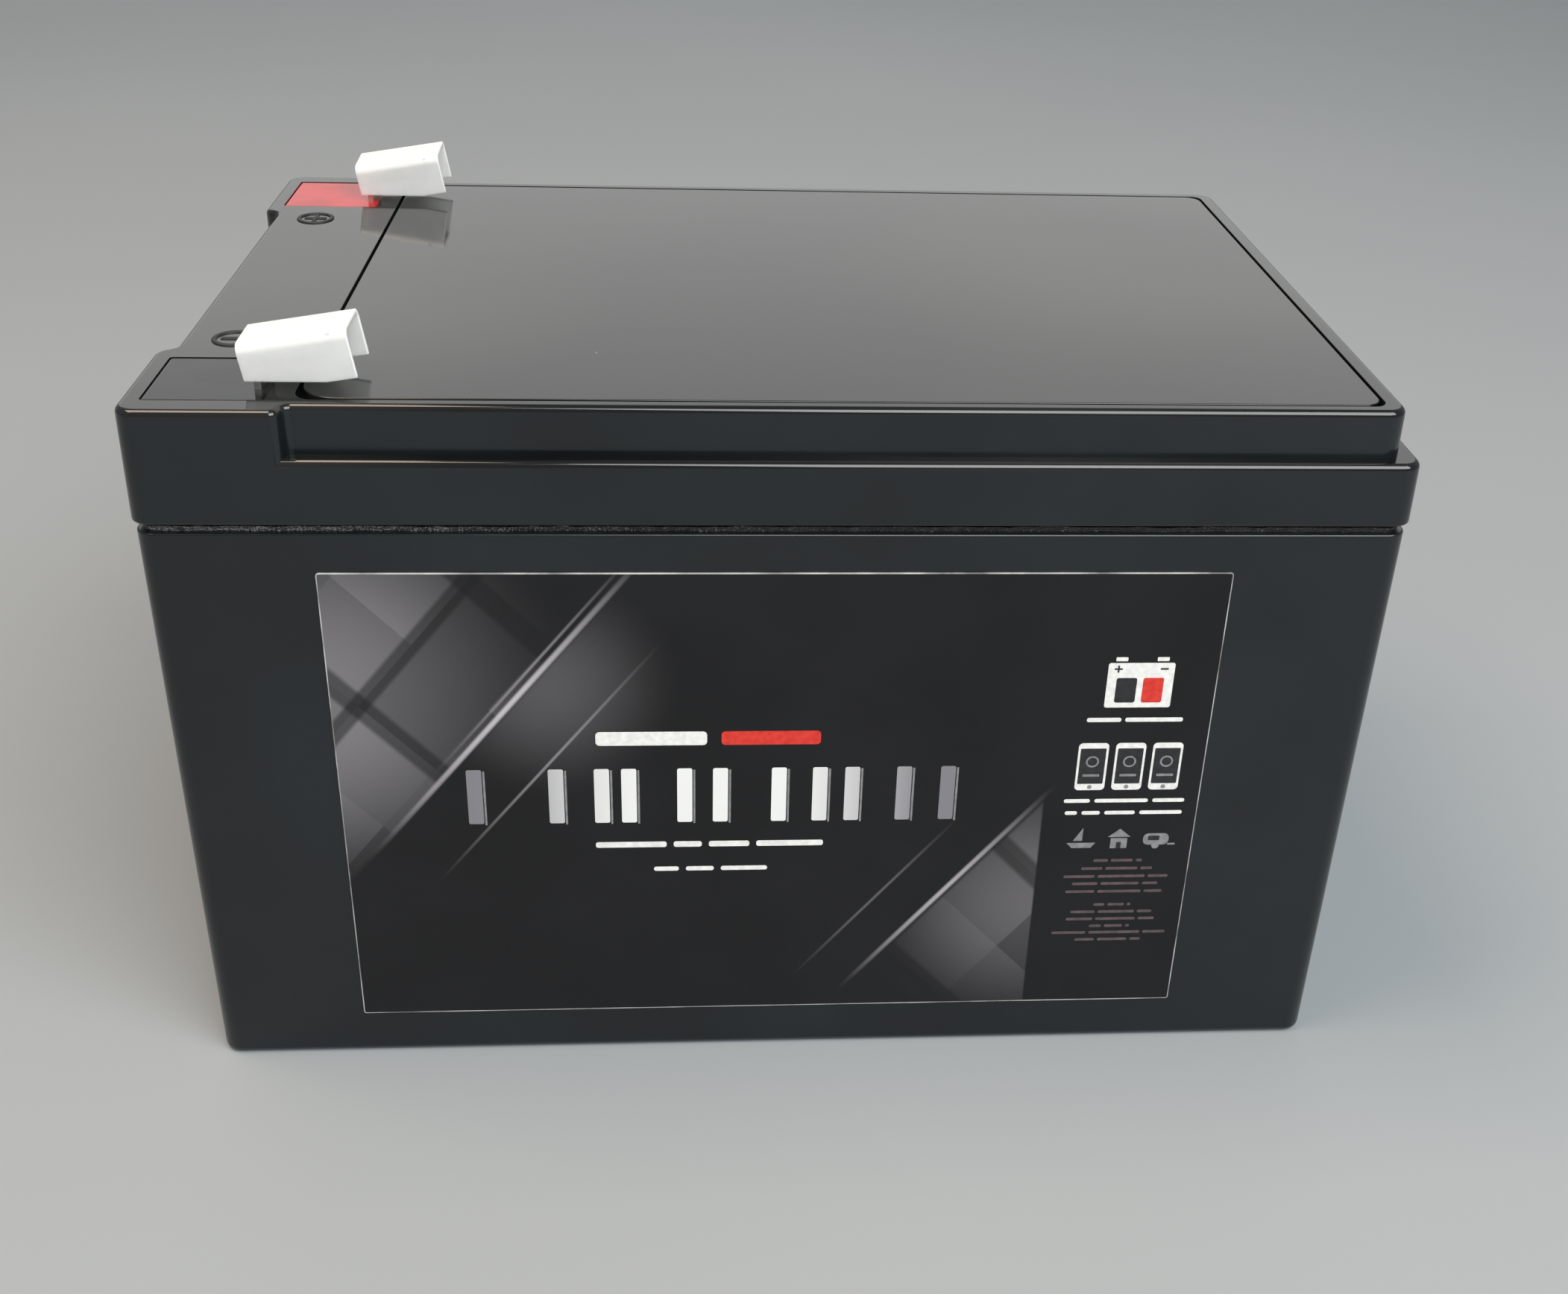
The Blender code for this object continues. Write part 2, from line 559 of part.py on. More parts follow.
def build_electronics(resist, alloy, package, housing):
    """Protection board with its transistors under a ribbed heat spreader, and the small modules."""
    board_top = BMS_FOOT + BMS_THICKNESS
    prism("bms_board", rectangle(BMS_CENTRE_X - BMS_LENGTH / 2, BMS_CENTRE_X + BMS_LENGTH / 2,
                                 -BMS_WIDTH / 2, BMS_WIDTH / 2, 1.5 * MM, steps=3),
          BMS_FOOT, board_top, resist)
    package_foot = board_top + GAP
    package_height = 2 * MM
    package_half = 4.5 * MM
    for number in range(1, 5):
        x = PACKAGE_START_X + PACKAGE_PITCH * (number - 1)
        prism(f"bms_mosfet_{number}", rectangle(x - package_half, x + package_half,
                                                SPREADER_FRONT + 3 * MM, SPREADER_BACK - 3 * MM,
                                                0.3 * MM, steps=1),
              package_foot, package_foot + package_height, package)
    spreader_foot = package_foot + package_height + GAP
    spreader_margin = 7 * MM
    spreader_left = PACKAGE_START_X - spreader_margin
    spreader_right = PACKAGE_START_X + 3 * PACKAGE_PITCH + spreader_margin
    spreader = prism("bms_heat_spreader", rectangle(spreader_left, spreader_right, SPREADER_FRONT,
                                                    SPREADER_BACK, 0.5 * MM, steps=2),
                     spreader_foot, spreader_foot + 3 * MM, alloy)
    for number in range(6):
        y = SPREADER_FRONT + (1.4 + 2.2 * number) * MM
        channel = prism(f"spreader_channel_{number}", rectangle(spreader_left - 5 * MM,
                                                                spreader_right + 5 * MM, y, y + 1 * MM),
                        spreader_foot + 1.4 * MM, spreader_foot + 5 * MM, alloy)
        shape(spreader, channel)
    half_length = 7.5 * MM
    wall = 0.8 * MM
    connector = prism("balance_connector", rectangle(CONNECTOR_X - half_length, CONNECTOR_X + half_length,
                                                     CONNECTOR_FRONT, CONNECTOR_BACK, 0.3 * MM, steps=1),
                      package_foot, package_foot + 5.5 * MM, housing)
    mouth = prism("connector_mouth", rectangle(CONNECTOR_X - half_length + wall,
                                               CONNECTOR_X + half_length - wall,
                                               CONNECTOR_FRONT + 1 * MM, CONNECTOR_BACK - 1 * MM),
                  package_foot + 1.2 * MM, package_foot + 7 * MM, housing)
    shape(connector, mouth)
    module_left, module_front = 32 * MM, 4 * MM
    prism("wireless_module", rectangle(module_left, module_left + 14 * MM, module_front,
                                       module_front + 11 * MM, 0.5 * MM, steps=2),
          package_foot, package_foot + 2.2 * MM, resist, top_round=0.4 * MM)


def upturn(heading, terminal_y):
    """Spots of a quarter bend that brings a main lead round from level to upright, under a tab."""
    spots = []
    for angle in (0, 30, 60, 90):
        back = LEAD_BEND * (1 - sin(radians(angle)))
        down = LEAD_BEND * cos(radians(angle))
        spots.append(((TAB_LEG_X + TAB_THICKNESS / 2 - heading[0] * back) / MM,
                      (terminal_y - heading[1] * back) / MM,
                      (TAB_FOOT - GAP - down) / MM))
    return spots


def build_leads(red, black, thin):
    """Main leads to the two tabs, five thin balance leads, and the temperature probe."""
    lead("lead_positive", [(-64.2, 13, 79.7), (-64.2, 19, 79.7), (-64.1, 25, 79.7),
                           (-63.4, 31, 79.7), *upturn((0.31, 0.95), TERMINALS["positive"])],
         MAIN_LEAD, red)
    lead("lead_negative_output", [(-31, -20.5, 85), (-38, -21, 85), (-43.5, -24, 83.8),
                                  (-46.7, -29.5, 81.6), (-49, -35, 80),
                                  (-53, -38.3, 79.6), *upturn((-1, 0), TERMINALS["negative"])],
         MAIN_LEAD, black)
    lead("lead_negative_pack", [(64.2, 8, 79.7), (64.2, 0, 79.7), (63.6, -8, 80.2), (60, -13.5, 83),
                                (54, -15, 85.3), (45, -15, 85)], MAIN_LEAD, black)
    pin = [(CONNECTOR_X / MM + (k - 2) * PIN_SPACING / MM, 23.4, 85) for k in range(5)]
    side_y = SIDE_GAP_Y / MM
    strip_end = (CELL_FOOT + CELL_LENGTH + 2 * GAP + SHEET) / MM
    low_end = CELL_FOOT / MM
    column = CELL_PITCH / MM
    routes = [
        [pin[0], (13.5, 27, 84.2), (1, 29.6, 81.6), (-28, 29.6, 80.4), (-46, 22, 80.2),
         (-58, 5, 80.2), (-64, -4, 79.8), (-64.2, -5.5, strip_end)],
        [pin[1], (16.4, 28, 84), (8, 32.4, 81.8), (-10, 33.4, 81), (-28, 34.3, 80.4),
         (-column, side_y, 76), (-column, side_y, 68), (-column, side_y, 38),
         (-column, side_y, low_end)],
        [pin[2], (20, 27, 84.2), (19.5, 29.4, 81.4), (19.5, 29.5, strip_end)],
        [pin[3], (23.6, 28, 84), (28.5, 32.4, 81.8), (32.8, 34.5, 79), (column, side_y, 74),
         (column, side_y, 66), (column, side_y, 38), (column, side_y, low_end)],
        [pin[4], (27, 26.8, 84.2), (39, 29, 81.6), (54, 27, 80.3), (62, 21, 80.1),
         (64.1, 17.2, 79.6), (64.2, 16.4, strip_end)],
    ]
    for number, spots in enumerate(routes, start=1):
        lead(f"balance_lead_{number}", spots, THIN_LEAD, thin)
    lead("temperature_probe", [(-8, -21.5, 83.6), (-8, -26.5, 83.4), (-5, -31, 81.6),
                               (-0.8, -34.4, 78.6), (0, -side_y, 73), (0, -side_y, 65),
                               (0, -33.6, 58), (0, -31.5, 52), (0, -30, 46)],
         THIN_LEAD, black, swell=2.2)


def build():
    """The whole battery."""
    clear_scene()
    black = material("moulded_abs", (0.012, 0.013, 0.015), 0.25)
    grey = material("epoxy_adhesive", (0.12, 0.12, 0.12), 0.7)
    tin = material("tinned_brass", (0.65, 0.63, 0.58), 0.3, 1.0)
    resin = {"negative": material("black_resin", (0.010, 0.010, 0.012), 0.15),
             "positive": material("red_resin", (0.62, 0.06, 0.06), 0.2)}
    milky = material("milky_polyethylene", (0.86, 0.88, 0.86), 0.35)
    film = material("label_film", (0.008, 0.008, 0.009), 0.3)
    sleeve = material("cell_sleeve", (0.03, 0.16, 0.50), 0.4)
    holder = material("holder_plastic", (0.02, 0.02, 0.02), 0.5)
    nickel = material("nickel_sheet", (0.60, 0.58, 0.54), 0.35, 1.0)
    fibre = material("fibreglass_board", (0.55, 0.60, 0.32), 0.5)
    foam = material("eva_foam", (0.05, 0.05, 0.05), 0.9)
    resist = material("solder_resist", (0.01, 0.18, 0.07), 0.35)
    alloy = material("aluminium_plate", (0.60, 0.60, 0.62), 0.4, 1.0)
    package = material("moulded_package", (0.02, 0.02, 0.02), 0.5)
    housing = material("connector_nylon", (0.80, 0.78, 0.70), 0.5)
    red_lead = material("red_silicone", (0.50, 0.02, 0.02), 0.5)
    black_lead = material("black_silicone", (0.02, 0.02, 0.02), 0.5)
    thin_lead = material("thin_lead_pvc", (0.60, 0.60, 0.62), 0.5)

    build_case(black)
    build_lid(black)
    prism("cover_plate", plate_outline(0, 4.5 * MM, 2.2 * MM), BODY_HEIGHT - PLATE_DEPTH + GAP,
          BODY_HEIGHT, black, top_round=0.2 * MM)
    build_seam(grey, length_inset=1.2 * MM, wall=1.5 * MM)
    for pole, y in TERMINALS.items():
        build_terminal(pole, y, tin)
        build_resin(pole, y, resin[pole])
        build_cap(pole, y, milky)
    build_label(film)
    build_cells(sleeve)
    build_holders(holder)
    build_strips(nickel)
    build_packing(fibre, foam)
    build_electronics(resist, alloy, package, housing)
    build_leads(red_lead, black_lead, thin_lead)


build()
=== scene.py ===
# %% [markdown]
# # A sealed deep cycle battery
#
# The real thing is a black ABS tub with a glued lid, a flat cover plate let into the lid, two tin-plated tabs
# potted in resin, a loose polyethylene cap over each tab and a printed film on the front.
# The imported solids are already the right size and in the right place, but their edges are coarse. So each
# piece that shows is modelled again here at the same size, with fine roundings that catch the light, and the
# pieces inside the case keep their solids and get a proper finish.

# %% Load the frame
from math import cos, pi, radians, sin

import bmesh
import bpy
from mathutils import Euler, Matrix, Vector, noise


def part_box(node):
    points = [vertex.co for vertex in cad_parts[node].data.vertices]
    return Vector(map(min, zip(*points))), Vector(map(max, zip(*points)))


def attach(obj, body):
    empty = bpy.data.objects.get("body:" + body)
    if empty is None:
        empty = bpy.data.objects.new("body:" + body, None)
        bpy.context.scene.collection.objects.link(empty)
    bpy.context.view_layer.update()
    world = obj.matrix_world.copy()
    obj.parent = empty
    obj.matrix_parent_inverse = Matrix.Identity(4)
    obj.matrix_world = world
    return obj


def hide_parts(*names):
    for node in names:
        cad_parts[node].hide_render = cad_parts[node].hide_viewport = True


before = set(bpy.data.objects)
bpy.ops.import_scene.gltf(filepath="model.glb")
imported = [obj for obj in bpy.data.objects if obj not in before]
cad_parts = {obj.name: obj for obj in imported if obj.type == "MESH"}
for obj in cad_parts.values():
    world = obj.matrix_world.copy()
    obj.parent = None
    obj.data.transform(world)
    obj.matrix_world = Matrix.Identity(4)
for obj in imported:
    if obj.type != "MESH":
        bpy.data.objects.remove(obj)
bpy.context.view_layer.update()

MM = 0.001
scene = bpy.context.scene

# %% [markdown]
# ## The camera
#
# A small battery is best seen from a little above its lid, about a quarter of a metre away. A camera could be
# aimed with a Track To constraint, but a position and three angles say more: how far it looks down, is turned
# and is rolled. The shift slides the picture on the sensor, as a crop does, without turning the camera.

# %% Place the camera
CAMERA_PLACE = Vector((-10.25, -234.88, 171.39)) * MM
LOOKS_DOWN = radians(26.593)
TURNED = radians(-4.839)
ROLLED = radians(2.214)

camera_data = bpy.data.cameras.new("camera")
camera_data.sensor_width = 36
camera_data.lens = 40.633
camera_data.shift_x = -0.0321
camera_data.shift_y = -0.0675
camera_data.clip_start = 10 * MM
camera = bpy.data.objects.new("camera", camera_data)
scene.collection.objects.link(camera)
camera.matrix_world = (Matrix.Translation(CAMERA_PLACE) @ Matrix.Rotation(TURNED, 4, "Z")
                       @ Matrix.Rotation(pi / 2 - LOOKS_DOWN, 4, "X") @ Matrix.Rotation(ROLLED, 4, "Z"))
scene.camera = camera
scene.view_settings.view_transform = "Standard"
print("camera at", [round(part / MM) for part in CAMERA_PLACE], "mm")

# %% [markdown]
# ## Two tools for materials
#
# Every finish below is a Principled shader with a few pattern nodes in front of it. Adding them one by one makes
# a long script, so one function adds any node, sets it and links it. Colours are written as the hex codes that
# a paint chart gives, and a shader wants them linear, so a second function turns one into the other.

# %% Colour and node helpers
def colour(code):
    """An sRGB hex code as the linear colour that a shader takes."""
    parts = [int(code[place:place + 2], 16) / 255 for place in (0, 2, 4)]
    return (*[c / 12.92 if c <= 0.04045 else ((c + 0.055) / 1.055) ** 2.4 for c in parts], 1.0)


def feed(material, node, inputs):
    """Fill a node's inputs: a node or a socket is linked, anything else is typed in."""
    for name, value in inputs.items():
        if isinstance(value, bpy.types.Node):
            value = value.outputs[0]
        if isinstance(value, bpy.types.NodeSocket):
            material.node_tree.links.new(value, node.inputs[name])
        else:
            node.inputs[name].default_value = value


def add(material, kind, settings=None, inputs=None):
    """Add a node of a kind, with its settings and its inputs."""
    node = material.node_tree.nodes.new("ShaderNode" + kind)
    for name, value in (settings or {}).items():
        setattr(node, name, value)
    feed(material, node, inputs or {})
    return node


def begin(name, fixed):
    """A new material, its shader with the fixed sockets typed in, and the object's own coordinates."""
    material = bpy.data.materials.new(name)
    material.use_nodes = True
    shader = material.node_tree.nodes["Principled BSDF"]
    feed(material, shader, fixed)
    return material, shader, add(material, "TexCoord").outputs["Object"]


print("black ABS in linear light:", [round(part, 4) for part in colour("0c0e10")[:3]])

# %% [markdown]
# ### Sums, ramps and mixes
#
# Three kinds of node come back in every pattern: a sum on two numbers, a ramp that turns one range of numbers
# into another, and a mix of two colours. A Color Ramp could stand for the last two, but its stops are awkward
# to set from a script, and a ramp of plain numbers also drives the gloss.

# %% Sum, ramp and mix
def maths(material, operation, first, second=0.0, clamped=False):
    """One sum on two numbers or sockets."""
    return add(material, "Math", {"operation": operation, "use_clamp": clamped}, {0: first, 1: second})


def ramp(material, value, start, end, low=0.0, high=1.0, kind="LINEAR"):
    """Low where a value is at start, high where it is at end, and a steady change in between."""
    return add(material, "MapRange", {"interpolation_type": kind}, {
        "Value": value, "From Min": start, "From Max": end, "To Min": low, "To Max": high})


def mixed(material, share, first, second):
    """The first colour where the share is 0 and the second where it is 1; either may be a hex code."""
    first, second = [colour(part) if isinstance(part, str) else part for part in (first, second)]
    return add(material, "Mix", {"data_type": "RGBA"}, {0: share, 6: first, 7: second}).outputs[2]


print("mid grey in linear light:", round(colour("808080")[0], 3))

# %% [markdown]
# ### Mottling, grain, relief and specks
#
# Nearly every moulded, rolled or printed surface shares a few small faults: its colour drifts a little, its
# gloss is uneven, its skin isn't perfectly flat and dust settles on it. Short functions make these from noise.
# Each takes the size of the pattern in metres, so a scale is always a real length turned upside down.

# %% Pattern helpers
def cloud(material, place, size, detail):
    """Soft noise around a half, in patches of a given size."""
    return add(material, "TexNoise", {}, {"Vector": place, "Scale": 1 / size, "Detail": detail})


def mottled(material, place, first, second, size, detail=3.0):
    """Two colours that drift into each other over patches of a given size."""
    return mixed(material, ramp(material, cloud(material, place, size, detail), 0.35, 0.65), first, second)


def uneven(material, place, low, high, size):
    """A number, such as a roughness, that wanders between two values over patches of a given size."""
    return ramp(material, cloud(material, place, size, 4.0), 0.3, 0.7, low, high)


def relief(material, place, size, height, strength=1.0, under=None):
    """Bumps of a given size and height; under is the normal of a coarser relief that these sit on."""
    inputs = {"Height": cloud(material, place, size, 2.0), "Distance": height, "Strength": strength}
    if under is not None:
        inputs["Normal"] = under
    return add(material, "Bump", {}, inputs)


def specks(material, place, apart, edge, core, hidden=0.0):
    """Tiny round spots about so far apart, of which some stay hidden; edge and core are parts of that distance."""
    spots = add(material, "TexVoronoi", {}, {"Vector": place, "Scale": 1 / apart})
    shown = maths(material, "GREATER_THAN", spots.outputs["Color"], hidden)
    return maths(material, "MULTIPLY", ramp(material, spots.outputs["Distance"], edge, core), shown)


def surface(name, fixed, tones, gloss=None, grain=None, drawn=(1, 1, 1)):
    """A whole finish: tones (two colours, size), gloss (low, high, size) and grain (size, height, strength).

    The grain of a rolled or pulled surface is drawn out: drawn squeezes or stretches it along each axis.
    """
    material, shader, place = begin(name, fixed)
    patterns = {"Base Color": mottled(material, place, *tones)}
    if gloss:
        patterns["Roughness"] = uneven(material, place, *gloss)
    if grain:
        turned = add(material, "Mapping", {}, {"Vector": place, "Scale": drawn})
        patterns["Normal"] = relief(material, turned, *grain)
    feed(material, shader, patterns)
    return material


METAL = {"Metallic": 1.0}
print("a 2 mm pattern has a scale of", 1 / (2 * MM))

# %% [markdown]
# ## The plastic of the case and lid
#
# Battery cases are injection moulded in ABS, dyed through with carbon black. The mould for the lid's top is
# polished, so the top is a dark mirror: nearly all that the eye sees there is the soft light behind it, with
# a little haze, a few specks of dust and the slow ripple that cooling plastic leaves. A flat black with a low
# roughness would look like glass, so the ripple and a finer orange peel bend what it mirrors.

# %% Polished ABS, moulded
def polished_abs():
    """Dark mirror with haze, ripple and dust."""
    material, shader, place = begin("moulded_abs_polished", {"IOR": 1.53})
    haze = mottled(material, place, "0b0d0e", "262827", 70 * MM, 1.0)
    dust = specks(material, place, 9 * MM, 0.014, 0.008, hidden=0.55)
    ripple = relief(material, place, 26 * MM, 0.02 * MM, 0.6)
    orange_peel = relief(material, place, 1.6 * MM, 0.0012 * MM, 0.5, under=ripple)
    feed(material, shader, {"Base Color": mixed(material, dust, haze, "b4b2ac"),
                            "Roughness": uneven(material, place, 0.05, 0.11, 34 * MM),
                            "Normal": orange_peel})
    return material


POLISHED = polished_abs()
print(POLISHED.name, "has", len(POLISHED.node_tree.nodes), "nodes")

# %% [markdown]
# ### The same plastic from a satin mould
#
# The cavity for the walls is spark eroded, which leaves a grain of about a third of a millimetre. It blurs the
# floor that the walls mirror, so they read as charcoal. One function with the gloss as its argument gives the
# walls and, duller, the raised marks, which look darker than the mirror round them.

# %% Satin and matt ABS, moulded
def satin_abs(name, low, high):
    """Charcoal with a slight blue-green cast and the fine grain of an eroded mould."""
    material, shader, place = begin(name, {"IOR": 1.49})
    base = mottled(material, place, "0d1215", "141a1e", 28 * MM)
    flow = relief(material, place, 22 * MM, 0.03 * MM, 0.5)
    grain = relief(material, place, 0.35 * MM, 0.004 * MM, 0.35, under=flow)
    feed(material, shader, {"Base Color": base, "Roughness": uneven(material, place, low, high, 18 * MM),
                            "Normal": grain})
    return material


SATIN = satin_abs("moulded_abs_satin", 0.16, 0.26)
MATT = satin_abs("moulded_abs_matt", 0.5, 0.6)
print(SATIN.name, "and", MATT.name, "have", len(SATIN.node_tree.nodes), "nodes each")

# %% [markdown]
# ## Tools for shapes
#
# Everything on this object starts as a flat outline that is pulled up into a slab: the case, the lid, the plate,
# the resin, even the ink. The outline's corners are rounded while it is flat, by bevelling its points, because
# one corner can then have its own radius. Bevelling the finished slab's upright edges would work too, but it
# would tangle with the rounding of the top edge. The top and foot edges are bevelled last.

# %% Slabs with rounded corners and edges
TOUCHING = 0.001 * MM


def plan(corners, segments=10):
    """A flat face at height 0, from corners given as (x, y, radius)."""
    bm = bmesh.new()
    spots = [bm.verts.new((x, y, 0)) for x, y, _ in corners]
    bm.faces.new(spots)
    radii = sorted({radius for *_, radius in corners if radius})
    rounds = [(radius, [spot for spot, corner in zip(spots, corners) if corner[2] == radius])
              for radius in radii]
    for radius, turns in rounds:
        bmesh.ops.bevel(bm, geom=turns, offset=radius, segments=segments, profile=0.5,
                        affect="VERTICES", material=-1)
    return bm


def oblong(left, right, front, back, radius=0.0):
    """The four corners of a rectangle, for plan()."""
    return [(left, front, radius), (right, front, radius), (right, back, radius), (left, back, radius)]


def shift(bm, x, y, z, verts=None):
    """Move a whole shape, or some of its points."""
    bmesh.ops.translate(bm, vec=(x, y, z), verts=verts or bm.verts[:])


def pull_up(bm, low, high):
    """Turn every flat face at height 0 into a slab from low to high; returns the upper corners."""
    shift(bm, 0, 0, low)
    pulled = bmesh.ops.extrude_face_region(bm, geom=bm.faces[:])["geom"]
    upper = [item for item in pulled if isinstance(item, bmesh.types.BMVert)]
    shift(bm, 0, 0, high - low, upper)
    return upper


def creases(bm, angle):
    """The edges where the faces turn by more than some degrees."""
    bm.normal_update()
    return [edge for edge in bm.edges if edge.calc_face_angle(0) > radians(angle)]


def level(bm, height, angle=40):
    """The creases that lie wholly at one height."""
    return [edge for edge in creases(bm, angle) if all(abs(v.co.z - height) < TOUCHING for v in edge.verts)]


def soften(bm, edges, radius, segments=5):
    """Round some edges."""
    bmesh.ops.bevel(bm, geom=edges, offset=radius, segments=segments, profile=0.5, affect="EDGES",
                    material=-1)


def slab(corners, low, high, top=0.0, foot=0.0, segments=10):
    """A closed slab from an outline, with rounded top and foot edges."""
    bm = plan(corners, segments)
    pull_up(bm, low, high)
    for height, radius in ((high, top), (low, foot)):
        if radius:
            soften(bm, level(bm, height), radius)
    return bm


print("a slab with round corners has", len(slab(oblong(0, 1, 0, 1, 0.1), 0, 1, top=0.05).faces), "faces")

# %% [markdown]
# ### Joining, cutting and finishing
#
# The lid is two slabs joined, with rooms and wells cut out. An exact Boolean does both, and it is applied at
# once, so that its tool can be thrown away. It leaves slivers where two walls lie in one plane, which are merged
# and dissolved. A finished piece gets weighted normals: on a mirror-like top they keep the flat faces truly
# flat and give all the turning of the light to the roundings.

# %% Booleans and the last step of every piece
def as_object(name, bm):
    """Put a bmesh in the scene as an object, with all its faces looking outwards."""
    bm.normal_update()
    bmesh.ops.recalc_face_normals(bm, faces=bm.faces[:])
    mesh = bpy.data.meshes.new(name)
    bm.to_mesh(mesh)
    bm.free()
    made = bpy.data.objects.new(name, mesh)
    scene.collection.objects.link(made)
    return made


def combine(bm, tool, operation):
    """Join a tool to a shape (UNION) or cut it away (DIFFERENCE); both are used up."""
    shape, cutter = as_object("shape", bm), as_object("cutter", tool)
    step = shape.modifiers.new("step", "BOOLEAN")
    step.operation = operation
    step.solver = "EXACT"
    step.object = cutter
    bpy.context.view_layer.update()
    result = bmesh.new()
    result.from_object(shape, bpy.context.evaluated_depsgraph_get())
    for used in (shape, cutter):
        bpy.data.meshes.remove(used.data)
    bmesh.ops.remove_doubles(result, verts=result.verts[:], dist=TOUCHING)
    bmesh.ops.dissolve_degenerate(result, dist=TOUCHING, edges=result.edges[:])
    bmesh.ops.dissolve_limit(result, angle_limit=radians(0.2), verts=result.verts[:],
                             edges=result.edges[:])
    return result


def finish_piece(name, bm, materials, body, replaced=(), sharp=32):
    """Make a shape a piece of the battery that rides on a body and stands for some solids."""
    piece = as_object(name, bm)
    for material in materials:
        piece.data.materials.append(material)
    piece.data.shade_smooth()
    piece.data.set_sharp_from_angle(angle=radians(sharp))
    flats = piece.modifiers.new("flats stay flat", "WEIGHTED_NORMAL")
    flats.weight = 100
    flats.keep_sharp = True
    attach(piece, body)
    if replaced:
        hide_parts(*replaced)
    loose = sum(edge.is_loose for edge in piece.data.edges)
    print(name, "has", len(piece.data.polygons), "faces and", loose, "loose edges")


notched = combine(slab(oblong(0, 2, 0, 2), 0, 2), slab(oblong(1, 3, 1, 3), 1, 3), "DIFFERENCE")
print("a cube with one corner cut away has", len(notched.faces), "faces")

# %% [markdown]
# ## The case
#
# The tub narrows slightly towards its foot, so that it leaves the mould. That draft is 0.9 mm a side, too little
# to measure by eye, but it is why the walls catch the light a shade differently from the lid. It is one slab
# with its foot scaled down, hollowed by another.

# %% Model the case
low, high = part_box("case")
CORNER = 2.5 * MM
RIM_TO_FOOT_DRAFT = 0.9 * MM
EDGE_ROUND = 0.8 * MM
ROOM_HALF_LENGTH = 71.8 * MM
ROOM_HALF_WIDTH = 45.2 * MM
FLOOR_THICKNESS = 2.5 * MM
DRAFT = RIM_TO_FOOT_DRAFT / high.z               # sideways per metre of height


def model_case():
    """Drafted tub with rounded foot and rim."""
    bm = plan(oblong(low.x, high.x, low.y, high.y, CORNER))
    upper = pull_up(bm, low.z, high.z)
    foot = [v for v in bm.verts if v not in upper]
    bmesh.ops.scale(bm, vec=(1 - RIM_TO_FOOT_DRAFT / high.x, 1 - RIM_TO_FOOT_DRAFT / high.y, 1), verts=foot)
    soften(bm, level(bm, high.z), 0.3 * MM, 3)
    soften(bm, level(bm, low.z), 1.0 * MM)
    room = slab(oblong(-ROOM_HALF_LENGTH, ROOM_HALF_LENGTH, -ROOM_HALF_WIDTH, ROOM_HALF_WIDTH, 1.5 * MM),
                FLOOR_THICKNESS, high.z + 5 * MM, foot=1.0 * MM)
    return combine(bm, room, "DIFFERENCE")


finish_piece("case_tub", model_case(), [SATIN], "battery", ["case"])
case_top = high.z
case_front = low.y

# %% [markdown]
# ## The lid
#
# The lid is a skirt with a step in it: above the step everything is drawn in by 2 mm, except two blocks at the
# terminal end that keep the full width and carry the wells. Drawn by hand, the step would be a ring of faces
# with awkward corners where the blocks begin. Two overlapping slabs, joined, give the same corners that the
# mould maker gets by milling one cavity and then the other.

# %% The lid's sizes
low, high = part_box("lid")
SKIRT_FOOT = 79.9 * MM
LEDGE = 88.0 * MM
TOP = 94.0 * MM
STEP = 2.1 * MM
BLOCK_END = -57.4 * MM
BLOCK_SIDE = 28.6 * MM
half_length, half_width = high.x, high.y


def top_outline():
    """The drawn-in top with its two full-width blocks, corner by corner along the front, then the back."""
    recess = -half_length + STEP
    front = [(recess, -BLOCK_SIDE, 0.8 * MM), (-half_length, -BLOCK_SIDE - 1.2 * MM, 1.2 * MM),
             (-half_length, -half_width, CORNER), (BLOCK_END, -half_width, 0.9 * MM),
             (BLOCK_END + 0.4 * MM, -half_width + STEP, 0.8 * MM),
             (half_length - STEP, -half_width + STEP, CORNER)]
    return front + [(x, -y, radius) for x, y, radius in reversed(front)]


print("the lid is", round((TOP - SKIRT_FOOT) / MM, 1), "mm high outside")

# %% [markdown]
# ### The marks on the lid
#
# A plus and a minus, each in a ring, stand 0.2 mm proud beside the wells. The letters of a text object would
# give them too, but at this size a ring is a disc with its middle taken out, and a plus is a square with its
# four sides pulled out. Both are drawn flat, pulled up, rounded like a bead and joined to the lid.

# %% Polarity marks
MARK_X = -67.2 * MM
MARK_Y = 25.7 * MM
MARK_RADIUS = 2.7 * MM
MARK_LINE = 0.65 * MM
MARK_REACH = 1.6 * MM
TERMINAL_Y = {"negative": -38.9 * MM, "positive": 38.9 * MM}


def ring(radius, line, sides):
    """A flat ring: a disc whose face is inset, then opened."""
    bm = bmesh.new()
    bmesh.ops.create_circle(bm, cap_ends=True, segments=sides, radius=radius)
    bmesh.ops.inset_region(bm, faces=bm.faces[:], thickness=line, use_boundary=True)
    centre = min(bm.faces, key=lambda face: face.calc_center_median().length)
    bmesh.ops.delete(bm, geom=[centre], context="FACES_ONLY")
    return bm


def sign(arms, reach, line):
    """A flat plus or minus: a small square whose sides are pulled out."""
    bm = plan(oblong(-line / 2, line / 2, -line / 2, line / 2))
    for side in bm.edges[:]:
        out = (side.verts[0].co + side.verts[1].co).normalized()
        if abs(out.x) > 0.5 or arms == 4:
            moved = bmesh.ops.extrude_edge_only(bm, edges=[side])["geom"]
            ends = [item for item in moved if isinstance(item, bmesh.types.BMVert)]
            bmesh.ops.translate(bm, vec=out * (reach - line / 2), verts=ends)
    return bm


